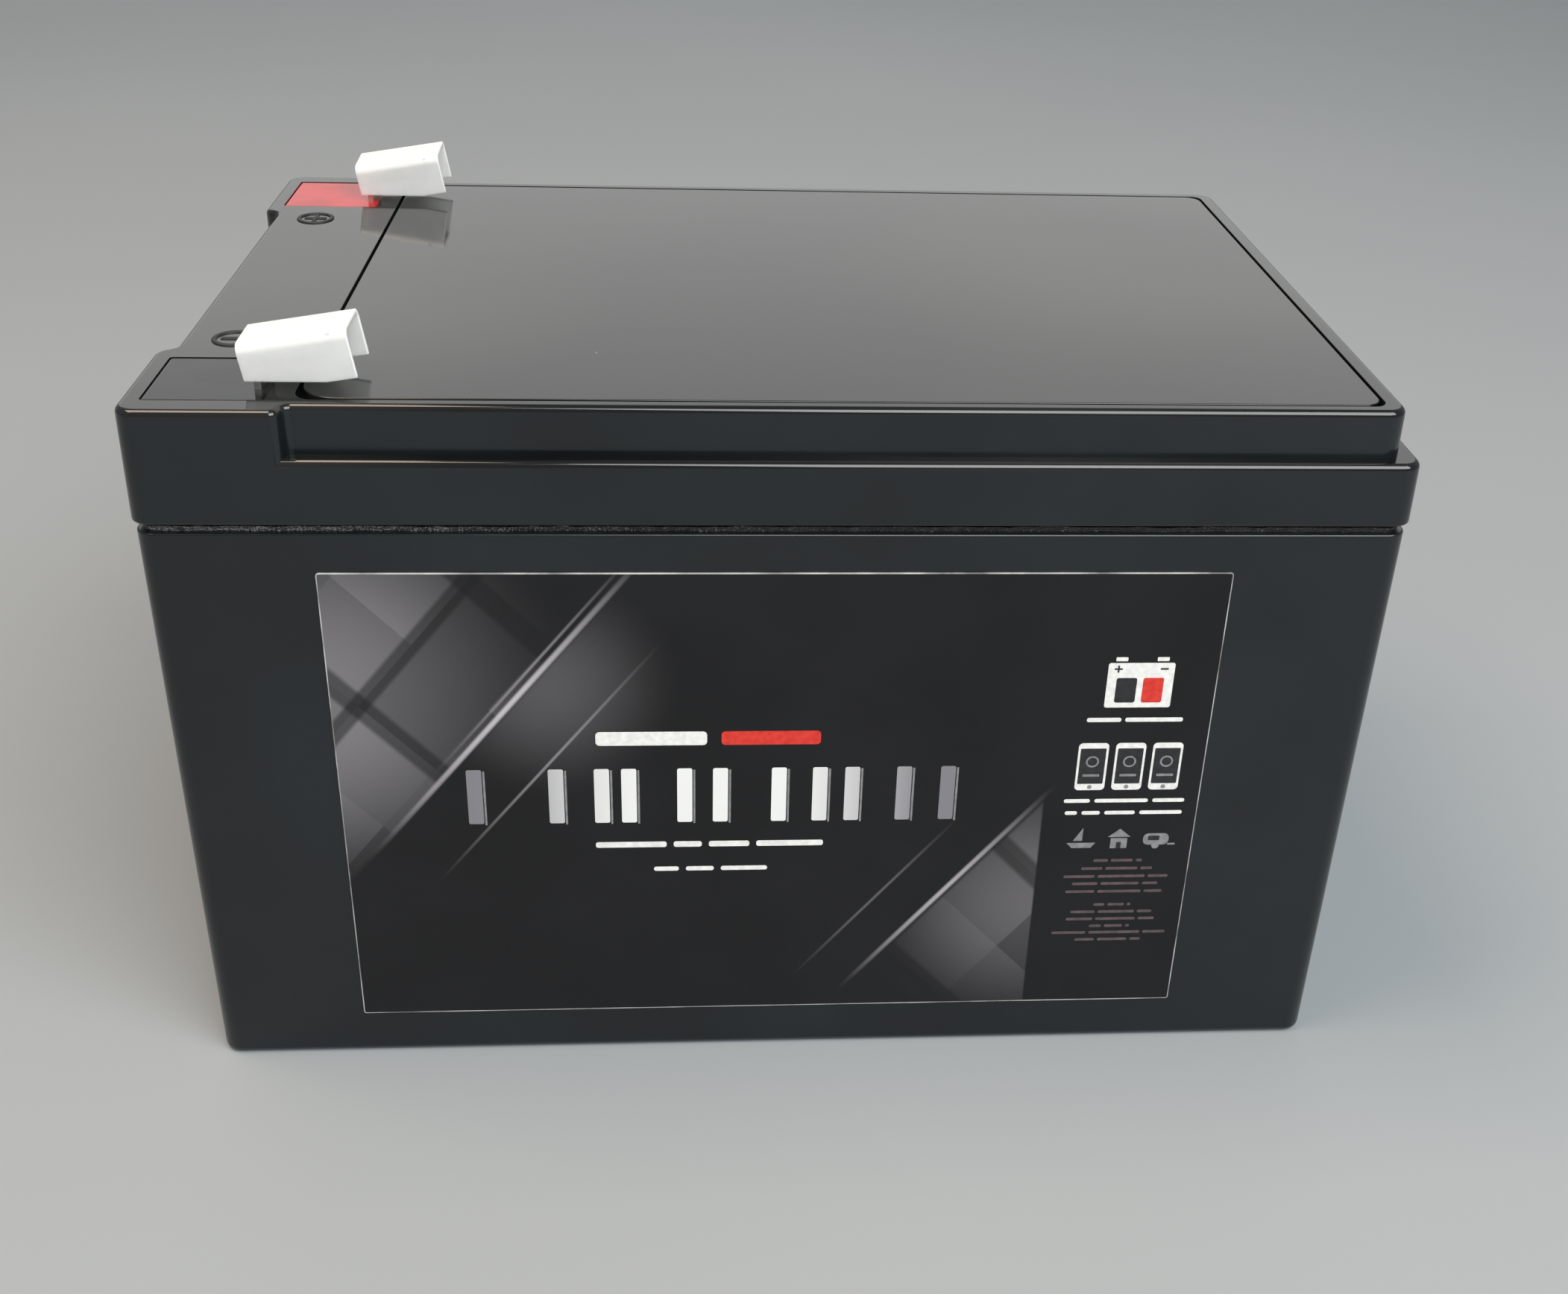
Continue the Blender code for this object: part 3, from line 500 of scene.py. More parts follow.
def raise_mark(lid, flat, y):
    """Join a flat mark to the lid's top, raised by 0.2 mm and rounded like a bead."""
    pull_up(flat, TOP - 0.4 * MM, high.z)
    soften(flat, level(flat, high.z), 0.19 * MM, 3)
    shift(flat, MARK_X, y, 0)
    return combine(lid, flat, "UNION")


print("a plus has", len(sign(4, MARK_REACH, MARK_LINE).faces), "faces before it is pulled up")

# %% [markdown]
# ### Rooms, wells and the plate's recess
#
# The lid is hollow below, with less room under the wells, whose floors hang lower. Each hollow is a slab that
# is cut away. The recess's rim is rounded before the wells are cut, because a bevel that runs across a fresh
# cut can tangle. Faces are then sorted by where they lie: upright walls are satin, marks matt, the rest polished.

# %% Model the lid
WELL_LEFT = -73.2 * MM
WELL_RIGHT = -59.4 * MM
WELL_HALF = 6.8 * MM
WELL_FLOOR = 88.4 * MM
GROOVE = 0.4 * MM
plate_low, plate_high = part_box("cover_plate")
resin_box = {pole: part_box("terminal_resin_" + pole) for pole in TERMINAL_Y}


def plate_corners(margin, left_radius, right_radius):
    """The cover plate's outline, or the recess for it with a margin all round."""
    left, right = plate_low.x - margin, plate_high.x + margin
    front, back = plate_low.y - margin, plate_high.y + margin
    return [(left, front, left_radius), (right, front, right_radius), (right, back, right_radius),
            (left, back, left_radius)]


def hollow_lid(lid):
    """The rooms under the lid, lower under the wells."""
    inner = ROOM_HALF_LENGTH - 1.8 * MM
    side = ROOM_HALF_WIDTH - 1.8 * MM
    for left, right, ceiling in ((BLOCK_END, inner, 89.2 * MM), (-inner, BLOCK_END + 4 * MM, 86.2 * MM)):
        room = slab(oblong(left, right, -side, side, 1 * MM), low.z - 1 * MM, ceiling, segments=4)
        lid = combine(lid, room, "DIFFERENCE")
    return lid


def model_lid():
    """Skirt, stepped top, lip, rooms, plate recess, wells, slots for the tabs and raised marks."""
    lid = slab(oblong(-half_length, half_length, -half_width, half_width, CORNER), SKIRT_FOOT, LEDGE,
               top=EDGE_ROUND, foot=0.3 * MM)
    lid = combine(lid, slab(top_outline(), SKIRT_FOOT + 2 * MM, TOP, top=EDGE_ROUND), "UNION")
    lip_x, lip_y = ROOM_HALF_LENGTH - 0.3 * MM, ROOM_HALF_WIDTH - 0.3 * MM
    lid = combine(lid, slab(oblong(-lip_x, lip_x, -lip_y, lip_y, 1.2 * MM), low.z, SKIRT_FOOT + 1 * MM,
                            segments=4), "UNION")
    lid = hollow_lid(lid)
    recess = slab(plate_corners(GROOVE, 2.2 * MM, 1.6 * MM), TOP - 2.3 * MM, TOP + 2 * MM)
    lid = combine(lid, recess, "DIFFERENCE")
    soften(lid, level(lid, TOP, 60), 0.12 * MM, 2)
    for pole, y in TERMINAL_Y.items():
        well = slab(oblong(WELL_LEFT, WELL_RIGHT, y - WELL_HALF, y + WELL_HALF, 0.5 * MM), WELL_FLOOR,
                    TOP + 2 * MM, segments=5)
        lid = combine(lid, well, "DIFFERENCE")
        tab_low, tab_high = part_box("terminal_" + pole)
        slot = slab(oblong(tab_low.x - 0.3 * MM, tab_low.x + 1.1 * MM, tab_low.y - 0.3 * MM,
                           tab_high.y + 0.3 * MM), 85 * MM, WELL_FLOOR + 1 * MM)
        lid = combine(lid, slot, "DIFFERENCE")
    for y, arms in ((-MARK_Y, 2), (MARK_Y, 4)):
        for flat in (ring(MARK_RADIUS, MARK_LINE, 40), sign(arms, MARK_REACH, MARK_LINE)):
            lid = raise_mark(lid, flat, y)
    return lid


lid_mesh = model_lid()
for face in lid_mesh.faces:
    upright = abs(face.normal.z) < 0.05
    height = face.calc_center_median().z
    face.material_index = 2 if height > TOP + 0.01 * MM else 1 if upright and height < TOP - EDGE_ROUND else 0
finish_piece("lid_shell", lid_mesh, [POLISHED, SATIN, MATT], "battery", ["lid"])

# %% [markdown]
# ## The cover plate
#
# A flat plate closes the lid over the cells. Its corners are rounder than those of the recess at the
# terminal end, so the fine black groove round it opens into a small dark triangle at each corner there. The
# plate is one slab: the groove isn't modelled, it is what two separate pieces leave between them.

# %% Model the cover plate
cover = slab(plate_corners(0, 4.5 * MM, 2.2 * MM), plate_low.z, plate_high.z, top=0.15 * MM)
finish_piece("cover_panel", cover, [POLISHED], "battery", ["cover_plate"])

# %% [markdown]
# ## The glue in the seam
#
# The lid is glued on, and a little grey epoxy shows in the gap. Squeezed glue is never even, so the bead's outer
# wall is divided finely and pushed in and out by a smooth noise. A bump map alone would leave its edge a
# straight line.

# %% Filled epoxy, squeezed out
def filled_epoxy():
    """Grey glue whose mineral filler shows as light grey specks, which are also painted glints, so they lie mostly
    towards the terminal end, on the key light's side.
    """
    material, shader, place = begin("epoxy_filled_squeezed", {"IOR": 1.55, "Roughness": 0.5})
    base = mottled(material, place, "161717", "303131", 1.2 * MM)
    along = add(material, "SeparateXYZ", {}, {0: place})
    # Painted glints: the specks thin out from 60 mm left of the middle to the middle and stay fewer on the right,
    # away from the key light.
    fewer_glints_rightwards = ramp(material, along, -60 * MM, 0, 0.0, 0.14)
    grit_and_glints = maths(material, "SUBTRACT", cloud(material, place, 0.2 * MM, 2.0), fewer_glints_rightwards)
    # The light grey specks mixed into the colour are filler grains and painted glints in one.
    feed(material, shader, {"Base Color": mixed(material, ramp(material, grit_and_glints, 0.46, 0.6), base, "8f908e"),
                            "Normal": relief(material, place, 0.3 * MM, 0.1 * MM)})
    return material


def model_seam():
    """A ring of glue on the case's rim, with a wandering outer wall."""
    glue_low, glue_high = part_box("seam_adhesive")
    foot, head = case_top - 0.05 * MM, case_top + 0.6 * MM
    bead = slab(oblong(glue_low.x, glue_high.x, glue_low.y, glue_high.y, 1.5 * MM), foot, head)
    hole = slab(oblong(glue_low.x + 1.5 * MM, glue_high.x - 1.5 * MM, glue_low.y + 1.5 * MM,
                       glue_high.y - 1.5 * MM, 0.8 * MM), foot - 1 * MM, head + 1 * MM)
    bead = combine(bead, hole, "DIFFERENCE")
    long_edges = [edge for edge in bead.edges if edge.calc_length() > 20 * MM]
    bmesh.ops.subdivide_edges(bead, edges=long_edges, cuts=90, use_grid_fill=True)
    for v in bead.verts:
        outside = abs(v.co.x) > glue_high.x - 1.6 * MM or abs(v.co.y) > glue_high.y - 1.6 * MM
        if outside:
            push = noise.noise(v.co / (3.0 * MM)) + 0.5 * noise.noise(v.co / (1.1 * MM))
            outwards = Vector((v.co.x / glue_high.x, v.co.y / glue_high.y, 0)).normalized()
            v.co += outwards * push * 0.25 * MM
            if v.co.z > case_top + 0.3 * MM:
                v.co.z += 0.15 * MM * noise.noise(v.co / (1.7 * MM))
    return bead


finish_piece("seam_glue", model_seam(), [filled_epoxy()], "battery", ["seam_adhesive"])

# %% [markdown]
# ## The tabs
#
# Each terminal is a 6.35 mm tab of tinned brass: a strip folded over once, with a hole for a locking dimple and
# a chamfered tip. The side view is the shape that matters, so the outline is drawn there, its fold rounded
# inside and out, and pulled to the tab's width. The outline lies flat while it is drawn, and is stood up by
# turning it about the long axis.

# %% Tinned brass, rolled and folded
# Bright tin with the fine lines of the rolled strip, a little yellower where it is thin.
TIN = surface("tinned_brass_rolled", METAL, ("f0ede2", "ded8c4", 2.5 * MM), (0.3, 0.45, 1.5 * MM),
              (1.2 * MM, 0.006 * MM, 0.6), (1, 14, 1))
TAB_THICKNESS = 0.8 * MM
BLADE_RISE = radians(9.5)
BLADE_LENGTH = 8.75 * MM
TAB_ROOT_Z = 98.3 * MM
ALONG = Vector((cos(BLADE_RISE), sin(BLADE_RISE)))
DOWN = Vector((ALONG.y, -ALONG.x))


def model_tab(pole, y):
    """Folded strip, standing on its leg at the terminal's place."""
    tab_low, tab_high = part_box("terminal_" + pole)
    root = Vector((tab_low.x, TAB_ROOT_Z))
    tip = root + ALONG * BLADE_LENGTH
    under = root + DOWN * TAB_THICKNESS
    inner = under + ALONG * ((tab_low.x + TAB_THICKNESS - under.x) / ALONG.x)
    side = plan([(tab_low.x, tab_low.z, 0), (tab_low.x + TAB_THICKNESS, tab_low.z, 0),
                 (*inner, 0.4 * MM), (*(tip + DOWN * TAB_THICKNESS), 0), (*tip, 0), (*root, 1.0 * MM)], 8)
    width = tab_high.y - tab_low.y
    pull_up(side, -width / 2, width / 2)
    tip_edges = [edge for edge in side.edges if edge.calc_length() < 1.1 * TAB_THICKNESS
                 and all(abs((v.co.xy - tip).dot(ALONG)) < 0.01 * MM for v in edge.verts)
                 and abs(edge.verts[0].co.z - edge.verts[1].co.z) < TOUCHING]
    soften(side, tip_edges, 1.0 * MM, 1)
    bmesh.ops.rotate(side, cent=(0, 0, 0), matrix=Matrix.Rotation(pi / 2, 3, "X"), verts=side.verts[:])
    shift(side, 0, y, 0)
    hole = bmesh.new()
    bmesh.ops.create_cone(hole, cap_ends=True, segments=32, radius1=0.8 * MM, radius2=0.8 * MM, depth=8 * MM)
    at = root + ALONG * (BLADE_LENGTH - 3.6 * MM)
    shift(hole, at.x, y, TAB_ROOT_Z)
    tab = combine(side, hole, "DIFFERENCE")
    soften(tab, creases(tab, 70), 0.05 * MM, 2)
    return tab


for pole, y in TERMINAL_Y.items():
    finish_piece("tab_" + pole, model_tab(pole, y), [TIN], "battery", ["terminal_" + pole])

# %% [markdown]
# ## The resin in the wells
#
# Each well is filled with casting resin, black for the negative tab and red for the positive one. Resin wets the
# wall and climbs it a little as it sets, which leaves a curved rim that draws a fine light line round the pool. That
# rim is made by insetting the top face a few times and lifting the outermost loop.

# %% Casting resin, poured
def casting_resin(name, deep, shallow, roughness):
    """Self-levelled resin: glassy, with slow dips and a few specks of dirt."""
    material, shader, place = begin(name, {"IOR": 1.4})
    base = mottled(material, place, deep, shallow, 6 * MM)
    dirt = specks(material, place, 7 * MM, 0.035, 0.022)
    feed(material, shader, {"Base Color": mixed(material, dirt, base, "050505"),
                            "Roughness": uneven(material, place, roughness, roughness * 1.6, 5 * MM),
                            "Normal": relief(material, place, 7 * MM, 0.05 * MM, 0.8)})
    return material


RESINS = {"negative": casting_resin("casting_resin_black_poured", "0a0b0d", "121417", 0.07),
          "positive": casting_resin("casting_resin_red_poured", "98060c", "ae1317", 0.12)}
MENISCUS = ((0.12, 0.12), (0.14, 0.05), (0.16, 0.016))      # each inset's width and how far it is lifted, in mm


def model_resin(pole, y):
    """A pool that fills its well and climbs the wall, with a slot round the tab's leg."""
    pool_low, pool_high = resin_box[pole]
    edge = 0.02 * MM
    pool = slab(oblong(WELL_LEFT + edge, WELL_RIGHT - edge, y - WELL_HALF + edge, y + WELL_HALF - edge,
                       0.5 * MM), pool_low.z, pool_high.z, segments=5)
    top = [face for face in pool.faces if face.normal.z > 0.9
           and face.calc_center_median().z > pool_high.z - TOUCHING]
    for width, lift in MENISCUS:
        rim = [v for face in top for v in face.verts]
        bmesh.ops.inset_region(pool, faces=top, thickness=width * MM)
        shift(pool, 0, 0, lift * MM, rim)
    tab_low, tab_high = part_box("terminal_" + pole)
    gap = 0.03 * MM
    left, right = tab_low.x - gap, tab_low.x + TAB_THICKNESS + gap
    front, back = tab_low.y - gap, tab_high.y + gap
    for place, across in (((left, 0, 0), (1, 0, 0)), ((right, 0, 0), (1, 0, 0)),
                          ((0, front, 0), (0, 1, 0)), ((0, back, 0), (0, 1, 0))):
        bmesh.ops.bisect_plane(pool, geom=pool.verts[:] + pool.edges[:] + pool.faces[:],
                               dist=TOUCHING, plane_co=place, plane_no=across)
    pool.normal_update()
    ends = [face for face in pool.faces if abs(face.normal.z) > 0.9
            and left < face.calc_center_median().x < right and front < face.calc_center_median().y < back]
    bmesh.ops.delete(pool, geom=ends, context="FACES")
    bmesh.ops.bridge_loops(pool, edges=[edge for edge in pool.edges if edge.is_boundary])
    return pool


for pole, y in TERMINAL_Y.items():
    finish_piece("resin_" + pole, model_resin(pole, y), [RESINS[pole]], "battery",
                 ["terminal_resin_" + pole])

# %% [markdown]
# ## The caps
#
# For transport, each tab wears a loose sleeve of milky polyethylene, open below and at both ends. The plastic is
# waxy: light goes in, spreads and comes out elsewhere, so the top glows and the thin rims are brighter than the
# walls. Subsurface scattering gives the glow, and a share of rough transmission lets some light straight
# through. Plain white paint would look like paper.
#
# The sleeve's section is drawn once, pulled along the blade, trimmed level below, and only then tilted into place.

# %% Polyethylene, extruded and cut
# Waxy, translucent white with a faintly cool cast and soft flow lines; the cut rims are clearer.
MILKY = [surface("polyethylene_milky_" + part, {
    "IOR": 1.5, "Subsurface Weight": 1.0, "Subsurface Radius": (1.0, 1.0, 0.95),
    "Subsurface Scale": depth * MM, "Transmission Weight": clear},
    ("f3f8f4", "fcfefb", 3 * MM), (0.3, 0.4, 2 * MM), (1.2 * MM, 0.03 * MM, 0.6), (0.25, 1, 1))
    for part, depth, clear in (("moulded", 0.55, 0.36), ("cut_rim", 0.9, 0.0))]
CAP_WIDTH = 8.1 * MM
CAP_WALL = 0.5 * MM
CAP_TOP = 1.5 * MM                  # above the blade's upper face
CAP_HEIGHT = 6.0 * MM
CAP_START, CAP_END = -1.35 * MM, 11.35 * MM
CAP_FOOT = 95.15 * MM
CAP_ROUND = 1.3 * MM
RIM = 0.13 * MM                     # rounding of the cut rims
CAP_LEAN = {"negative": 0.0, "positive": radians(3.0)}
INNER_HALF = CAP_WIDTH / 2 - CAP_WALL


def cap_box(front, back, bottom, top, start, end):
    """A block in the cap's own axes, drawn as its section and pulled along the blade."""
    block = plan(oblong(front, back, bottom, top))
    pull_up(block, start, end)
    return block


def model_cap(pole, y):
    """Upside-down channel with lips under the blade and a rib past its tip."""
    half, bottom = CAP_WIDTH / 2, CAP_TOP - CAP_HEIGHT
    ceiling = CAP_TOP - CAP_WALL
    inner_round = CAP_ROUND - CAP_WALL
    sleeve = plan([(-half, bottom, 0), (-INNER_HALF, bottom, 0), (-INNER_HALF, ceiling, inner_round),
                   (INNER_HALF, ceiling, inner_round), (INNER_HALF, bottom, 0), (half, bottom, 0),
                   (half, CAP_TOP, CAP_ROUND), (-half, CAP_TOP, CAP_ROUND)], 8)
    pull_up(sleeve, CAP_START, CAP_END)
    foot_at = (CAP_FOOT - TAB_ROOT_Z) / cos(BLADE_RISE)
    level_cut = bmesh.ops.bisect_plane(sleeve, geom=sleeve.verts[:] + sleeve.edges[:] + sleeve.faces[:],
                                       dist=TOUCHING, plane_co=(0, foot_at, 0),
                                       plane_no=(0, -cos(BLADE_RISE), -sin(BLADE_RISE)), clear_outer=True)
    rim = [item for item in level_cut["geom_cut"] if isinstance(item, bmesh.types.BMEdge)]
    bmesh.ops.holes_fill(sleeve, edges=rim)
    sleeve.normal_update()
    bmesh.ops.recalc_face_normals(sleeve, faces=sleeve.faces[:])
    bmesh.ops.dissolve_limit(sleeve, angle_limit=radians(0.5), verts=sleeve.verts[:], edges=sleeve.edges[:])
    soften(sleeve, creases(sleeve, 55), RIM, 3)
    sleeve.normal_update()
    for face in sleeve.faces:
        spot = face.calc_center_median()
        at_end = min(spot.z - CAP_START, CAP_END - spot.z) < RIM
        face.material_index = 1 if at_end or spot.y < bottom + RIM else 0
    lip_top = -TAB_THICKNESS - 0.3 * MM
    bite = CAP_WALL / 2
    rib_start = BLADE_LENGTH + 0.3 * MM
    inside = [cap_box(-INNER_HALF - bite, INNER_HALF + bite, lip_top, ceiling + bite, rib_start,
                      rib_start + 0.5 * MM)]
    for side in (-1, 1):
        edges = sorted((side * (INNER_HALF + bite), side * (INNER_HALF - 0.8 * MM)))
        inside.append(cap_box(*edges, lip_top - 0.5 * MM, lip_top, 2.2 * MM, BLADE_LENGTH - 0.8 * MM))
    for block in inside:
        sleeve = combine(sleeve, block, "UNION")
    section_to_blade = Matrix(((0, 0, 1), (1, 0, 0), (0, 1, 0)))
    tilt = Euler((CAP_LEAN[pole], -BLADE_RISE, 0)).to_matrix()
    bmesh.ops.rotate(sleeve, cent=(0, 0, 0), matrix=tilt @ section_to_blade, verts=sleeve.verts[:])
    shift(sleeve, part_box("terminal_" + pole)[0].x, y, TAB_ROOT_Z)
    return sleeve


for pole, y in TERMINAL_Y.items():
    finish_piece("cap_sleeve_" + pole, model_cap(pole, y), MILKY, pole + "_cap",
                 ["cap_" + pole])

# %% [markdown]
# ## The front label
#
# The label is a printed film on the drafted wall. Its design here is a plain one: soft diagonal lights, blocks,
# rules and simple signs. It could be an image, but then it would blur close up, so the lights are worked out by
# the shader from where a point lies on the film, and everything with a crisp edge is a thin film of ink.
# Label sizes are in millimetres along the case and up from its foot, as a printer would give them.

# %% The label's own plane
film_low, film_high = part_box("front_label")
FILM = 0.2 * MM
FILM_GAP = 0.1 * MM
WALL_AT_FOOT = case_front + DRAFT * case_top
up = Vector((0, -DRAFT, 1)).normalized()
outwards = Vector((1, 0, 0)).cross(up)
LABEL_PLANE = Matrix.Translation((0, WALL_AT_FOOT - FILM_GAP, 0)) @ Matrix((
    (1, up.x, outwards.x), (0, up.y, outwards.y), (0, up.z, outwards.z))).to_4x4()
print("the label is", [round(size / MM, 1) for size in (film_high.x - film_low.x, film_high.z - film_low.z)])

# %% [markdown]
# ### Lights printed on the film
#
# The print shows crossing bands of grey light in two corners, with bright diagonals beside them. All of it comes
# from two measures: how far a point lies across a line that climbs to the right, and across one that falls.
# Their whole steps number the panes, and the distance to the nearest step draws the dim bands between them.

# %% Tools for printed lights
def across(material, place, angle):
    """How far in mm a point lies to the right of a line through the origin that climbs at an angle."""
    return add(material, "VectorMath", {"operation": "DOT_PRODUCT"}, {
        0: place, 1: (sin(radians(angle)) / MM, 0, -cos(radians(angle)) / MM)}).outputs["Value"]


def fade(material, value, start, end, low=0.0, high=1.0):
    """A ramp that starts and ends gently."""
    return ramp(material, value, start, end, low, high, "SMOOTHSTEP")


def times(material, *parts):
    """The product of some numbers or sockets."""
    product, *others = parts
    for part in others:
        product = maths(material, "MULTIPLY", product, part)
    return product


def glow(material, place, x, z, reach):
    """A soft round light on the film, 1 in its middle and 0 from its reach on."""
    flat = add(material, "VectorMath", {"operation": "MULTIPLY"}, {0: place, 1: (1, 0, 1)})
    away = add(material, "VectorMath", {"operation": "DISTANCE"}, {0: flat, 1: (x * MM, 0, z * MM)})
    return fade(material, away.outputs["Value"], reach * MM, 0.0)


PANE = (12.5, 11.0)                 # mm across the climbing and the falling lines
PANE_BAND = (0.12, 0.17)            # how much of that the dim band takes up


def panes(material, climb, fall):
    """Panes of different greys, with dim bands where they meet."""
    steps = [maths(material, "DIVIDE", side, pitch) for side, pitch in zip((climb, fall), PANE)]
    number = add(material, "CombineXYZ", {}, dict(enumerate(maths(material, "FLOOR", step) for step in steps)))
    tones = add(material, "TexWhiteNoise", {"noise_dimensions": "2D"}, {"Vector": number})
    pane = fade(material, tones, 0.0, 1.0, 0.35, 1.0)
    for step, width in zip(steps, PANE_BAND):
        edge = maths(material, "PINGPONG", step, 1.0)
        pane = times(material, pane, fade(material, edge, width * 0.55, width, 0.32, 1.0))
    return pane


print("panes of", *PANE, "mm")

# %% [markdown]
# ### The printed film
#
# The panes show only where a round glow lies over them and on one side of a diagonal. Each bright diagonal is
# its place across the climbing line, its width and strength, and a glow that lets it fade at both ends.

# %% Vinyl film, printed
STREAKS = ((-60.9, 0.55, 0.55, -34, 55, 30), (-62.1, 0.3, 0.2, -30, 60, 22), (-52.0, 0.3, 0.22, -30, 47, 24),
           (0.4, 0.5, 0.45, 22, 26, 22), (-6.0, 0.3, 0.12, 14, 24, 18))


def printed_film():
    """Near-black film with soft grey lights and bright diagonals."""
    material, shader, place = begin("vinyl_film_printed", {"IOR": 1.41})
    climb = across(material, place, 51)
    pane = panes(material, climb, across(material, place, -47))
    along = add(material, "SeparateXYZ", {}, {0: place})
    lights = [times(material, pane, fade(material, climb, -60.4, -61.4), glow(material, place, -57, 57, 33), 0.36),
              times(material, pane, fade(material, climb, 0.2, 1.2), fade(material, along, 34 * MM, 33.7 * MM),
                    glow(material, place, 34, 24, 24), 0.2),
              times(material, glow(material, place, -29, 58, 17), fade(material, climb, -61, -60), 0.09)]
    for at, width, bright, x, z, reach in STREAKS:
        away = maths(material, "ABSOLUTE", maths(material, "SUBTRACT", climb, at))
        lights.append(times(material, fade(material, away, width, width * 0.15),
                            glow(material, place, x, z, reach), bright))
    total = 0.0
    for light in lights:
        total = maths(material, "ADD", total, light, light is lights[-1])
    base = mottled(material, place, "0b0b0e", "111115", 18 * MM)
    feed(material, shader, {"Base Color": mixed(material, total, base, "e9e4ea"),
                            "Roughness": uneven(material, place, 0.24, 0.34, 9 * MM),
                            "Normal": relief(material, place, 0.5 * MM, 0.003 * MM, 0.4)})
    return material


PRINTED = printed_film()
print(PRINTED.name, "has", len(PRINTED.node_tree.nodes), "nodes")

# %% [markdown]
# ### The film and its cut edge
#
# A blade cuts the film after printing, so a hair of white film shows all round. Insetting the slab's face leaves
# a rim of its own faces, which get the white finish. A line drawn by the shader would blur instead.

# %% The film itself, and its white cut edge
# White film laid bare along the cut, greyed by handling.
CUT_VINYL = surface("vinyl_film_cut_edge", {"IOR": 1.5, "Roughness": 0.5}, ("6f7070", "c4c5c4", 5 * MM),
                    grain=(0.3 * MM, 0.02 * MM))


def model_film():
    """Thin slab with a hair of unprinted film round its face, laid on the wall."""
    film = plan(oblong(film_low.x, film_high.x, film_low.z, film_high.z, 0.35 * MM), 6)
    pull_up(film, 0, FILM)
    film.normal_update()
    face = [f for f in film.faces if f.calc_center_median().z > FILM - TOUCHING]
    for f in film.faces:
        f.material_index = 1
    bmesh.ops.inset_region(film, faces=face, thickness=0.12 * MM)
    for f in face:
        f.material_index = 0
    film.transform(LABEL_PLANE)
    return film


finish_piece("label_film", model_film(), [PRINTED, CUT_VINYL], "battery", ["front_label"])

# %% [markdown]
# ### The inks
#
# Screen printing leaves a thin, slightly raised coat with a fine mottle. Every shape below is a flat face drawn
# in the label's plane: bars, rules, rings and a few signs. All shapes of one ink share one mesh.

# %% Ink materials
INK_GRAIN = (0.25 * MM, 0.004 * MM, 0.5)


def ink(name, first, second, roughness=0.4):
    """Screen-printed ink: nearly one colour, with the mottle of the mesh it was pushed through."""
    return surface(f"ink_{name}_printed", {"IOR": 1.5, "Roughness": roughness}, (first, second, 0.8 * MM),
                   grain=INK_GRAIN)


def silver_ink():
    """White in the middle of the row, running to a dull silver at both ends."""
    material, shader, place = begin("ink_silver_printed", {"IOR": 1.5, "Roughness": 0.34})
    along = add(material, "SeparateXYZ", {}, {0: place})
    away = maths(material, "ABSOLUTE", maths(material, "SUBTRACT", along, -9 * MM))
    dull = fade(material, away, 8 * MM, 30 * MM)
    feed(material, shader, {"Base Color": mixed(material, dull, "e9e9e8", "7d7b82"),
                            "Normal": relief(material, place, *INK_GRAIN)})
    return material


INK = 0.03 * MM
INKS = {"white": ink("white", "dcdbd9", "efeeec"), "silver": silver_ink(),
        "red": ink("red", "c8281e", "d93a2c"), "dark": ink("black", "1b1b1d", "26262a"),
        "grey": ink("grey", "77777a", "8a898c", 0.45), "rose": ink("rose", "4a3f42", "5c4c50", 0.45)}
sheets = {name: bmesh.new() for name in INKS}
print("inks:", *INKS)

# %% [markdown]
# ### Stamps, bars and dashes
#
# A stamp takes any flat shape, moves it to its place on the label and adds it to the sheet of its ink. Layers
# stand a coat higher each, as overprinting does, so that two inks never lie in one plane and flicker.

# %% Tools for printed shapes
def stamp(name, flat, x, z, layer=0):
    """Add a flat shape, drawn in millimetres about its own middle, to the sheet of one ink."""
    bmesh.ops.scale(flat, vec=(MM, MM, MM), verts=flat.verts[:])
    shift(flat, x * MM, z * MM, 0)
    pull_up(flat, FILM - 0.01 * MM, FILM + INK * (1 + layer))
    flat.normal_update()
    bmesh.ops.recalc_face_normals(flat, faces=flat.faces[:])
    shape = bpy.data.meshes.new("stamp")
    flat.to_mesh(shape)
    flat.free()
    sheets[name].from_mesh(shape)
    bpy.data.meshes.remove(shape)


def bar(name, x, z, width, height, radius=0.15, layer=0):
    """A block of ink with its middle at (x, z)."""
    flat = plan(oblong(-width / 2, width / 2, -height / 2, height / 2, min(radius, height * 0.45)), 4)
    stamp(name, flat, x, z, layer)


def dashes(name, middle, z, lengths, thickness, gap=0.9):
    """A centred row of dashes."""
    x = middle - (sum(lengths) + gap * (len(lengths) - 1)) / 2
    for length in lengths:
        bar(name, x + length / 2, z, length, thickness, 0.3)
        x += length + gap


print("a coat of ink is", INK / MM, "mm thick")

# %% [markdown]
# ### The middle of the label
#
# The large name gives way to a row of upright silver bars with a grey side each, as raised letters would have.
# Two blocks stand above it and two rows of dashes below.

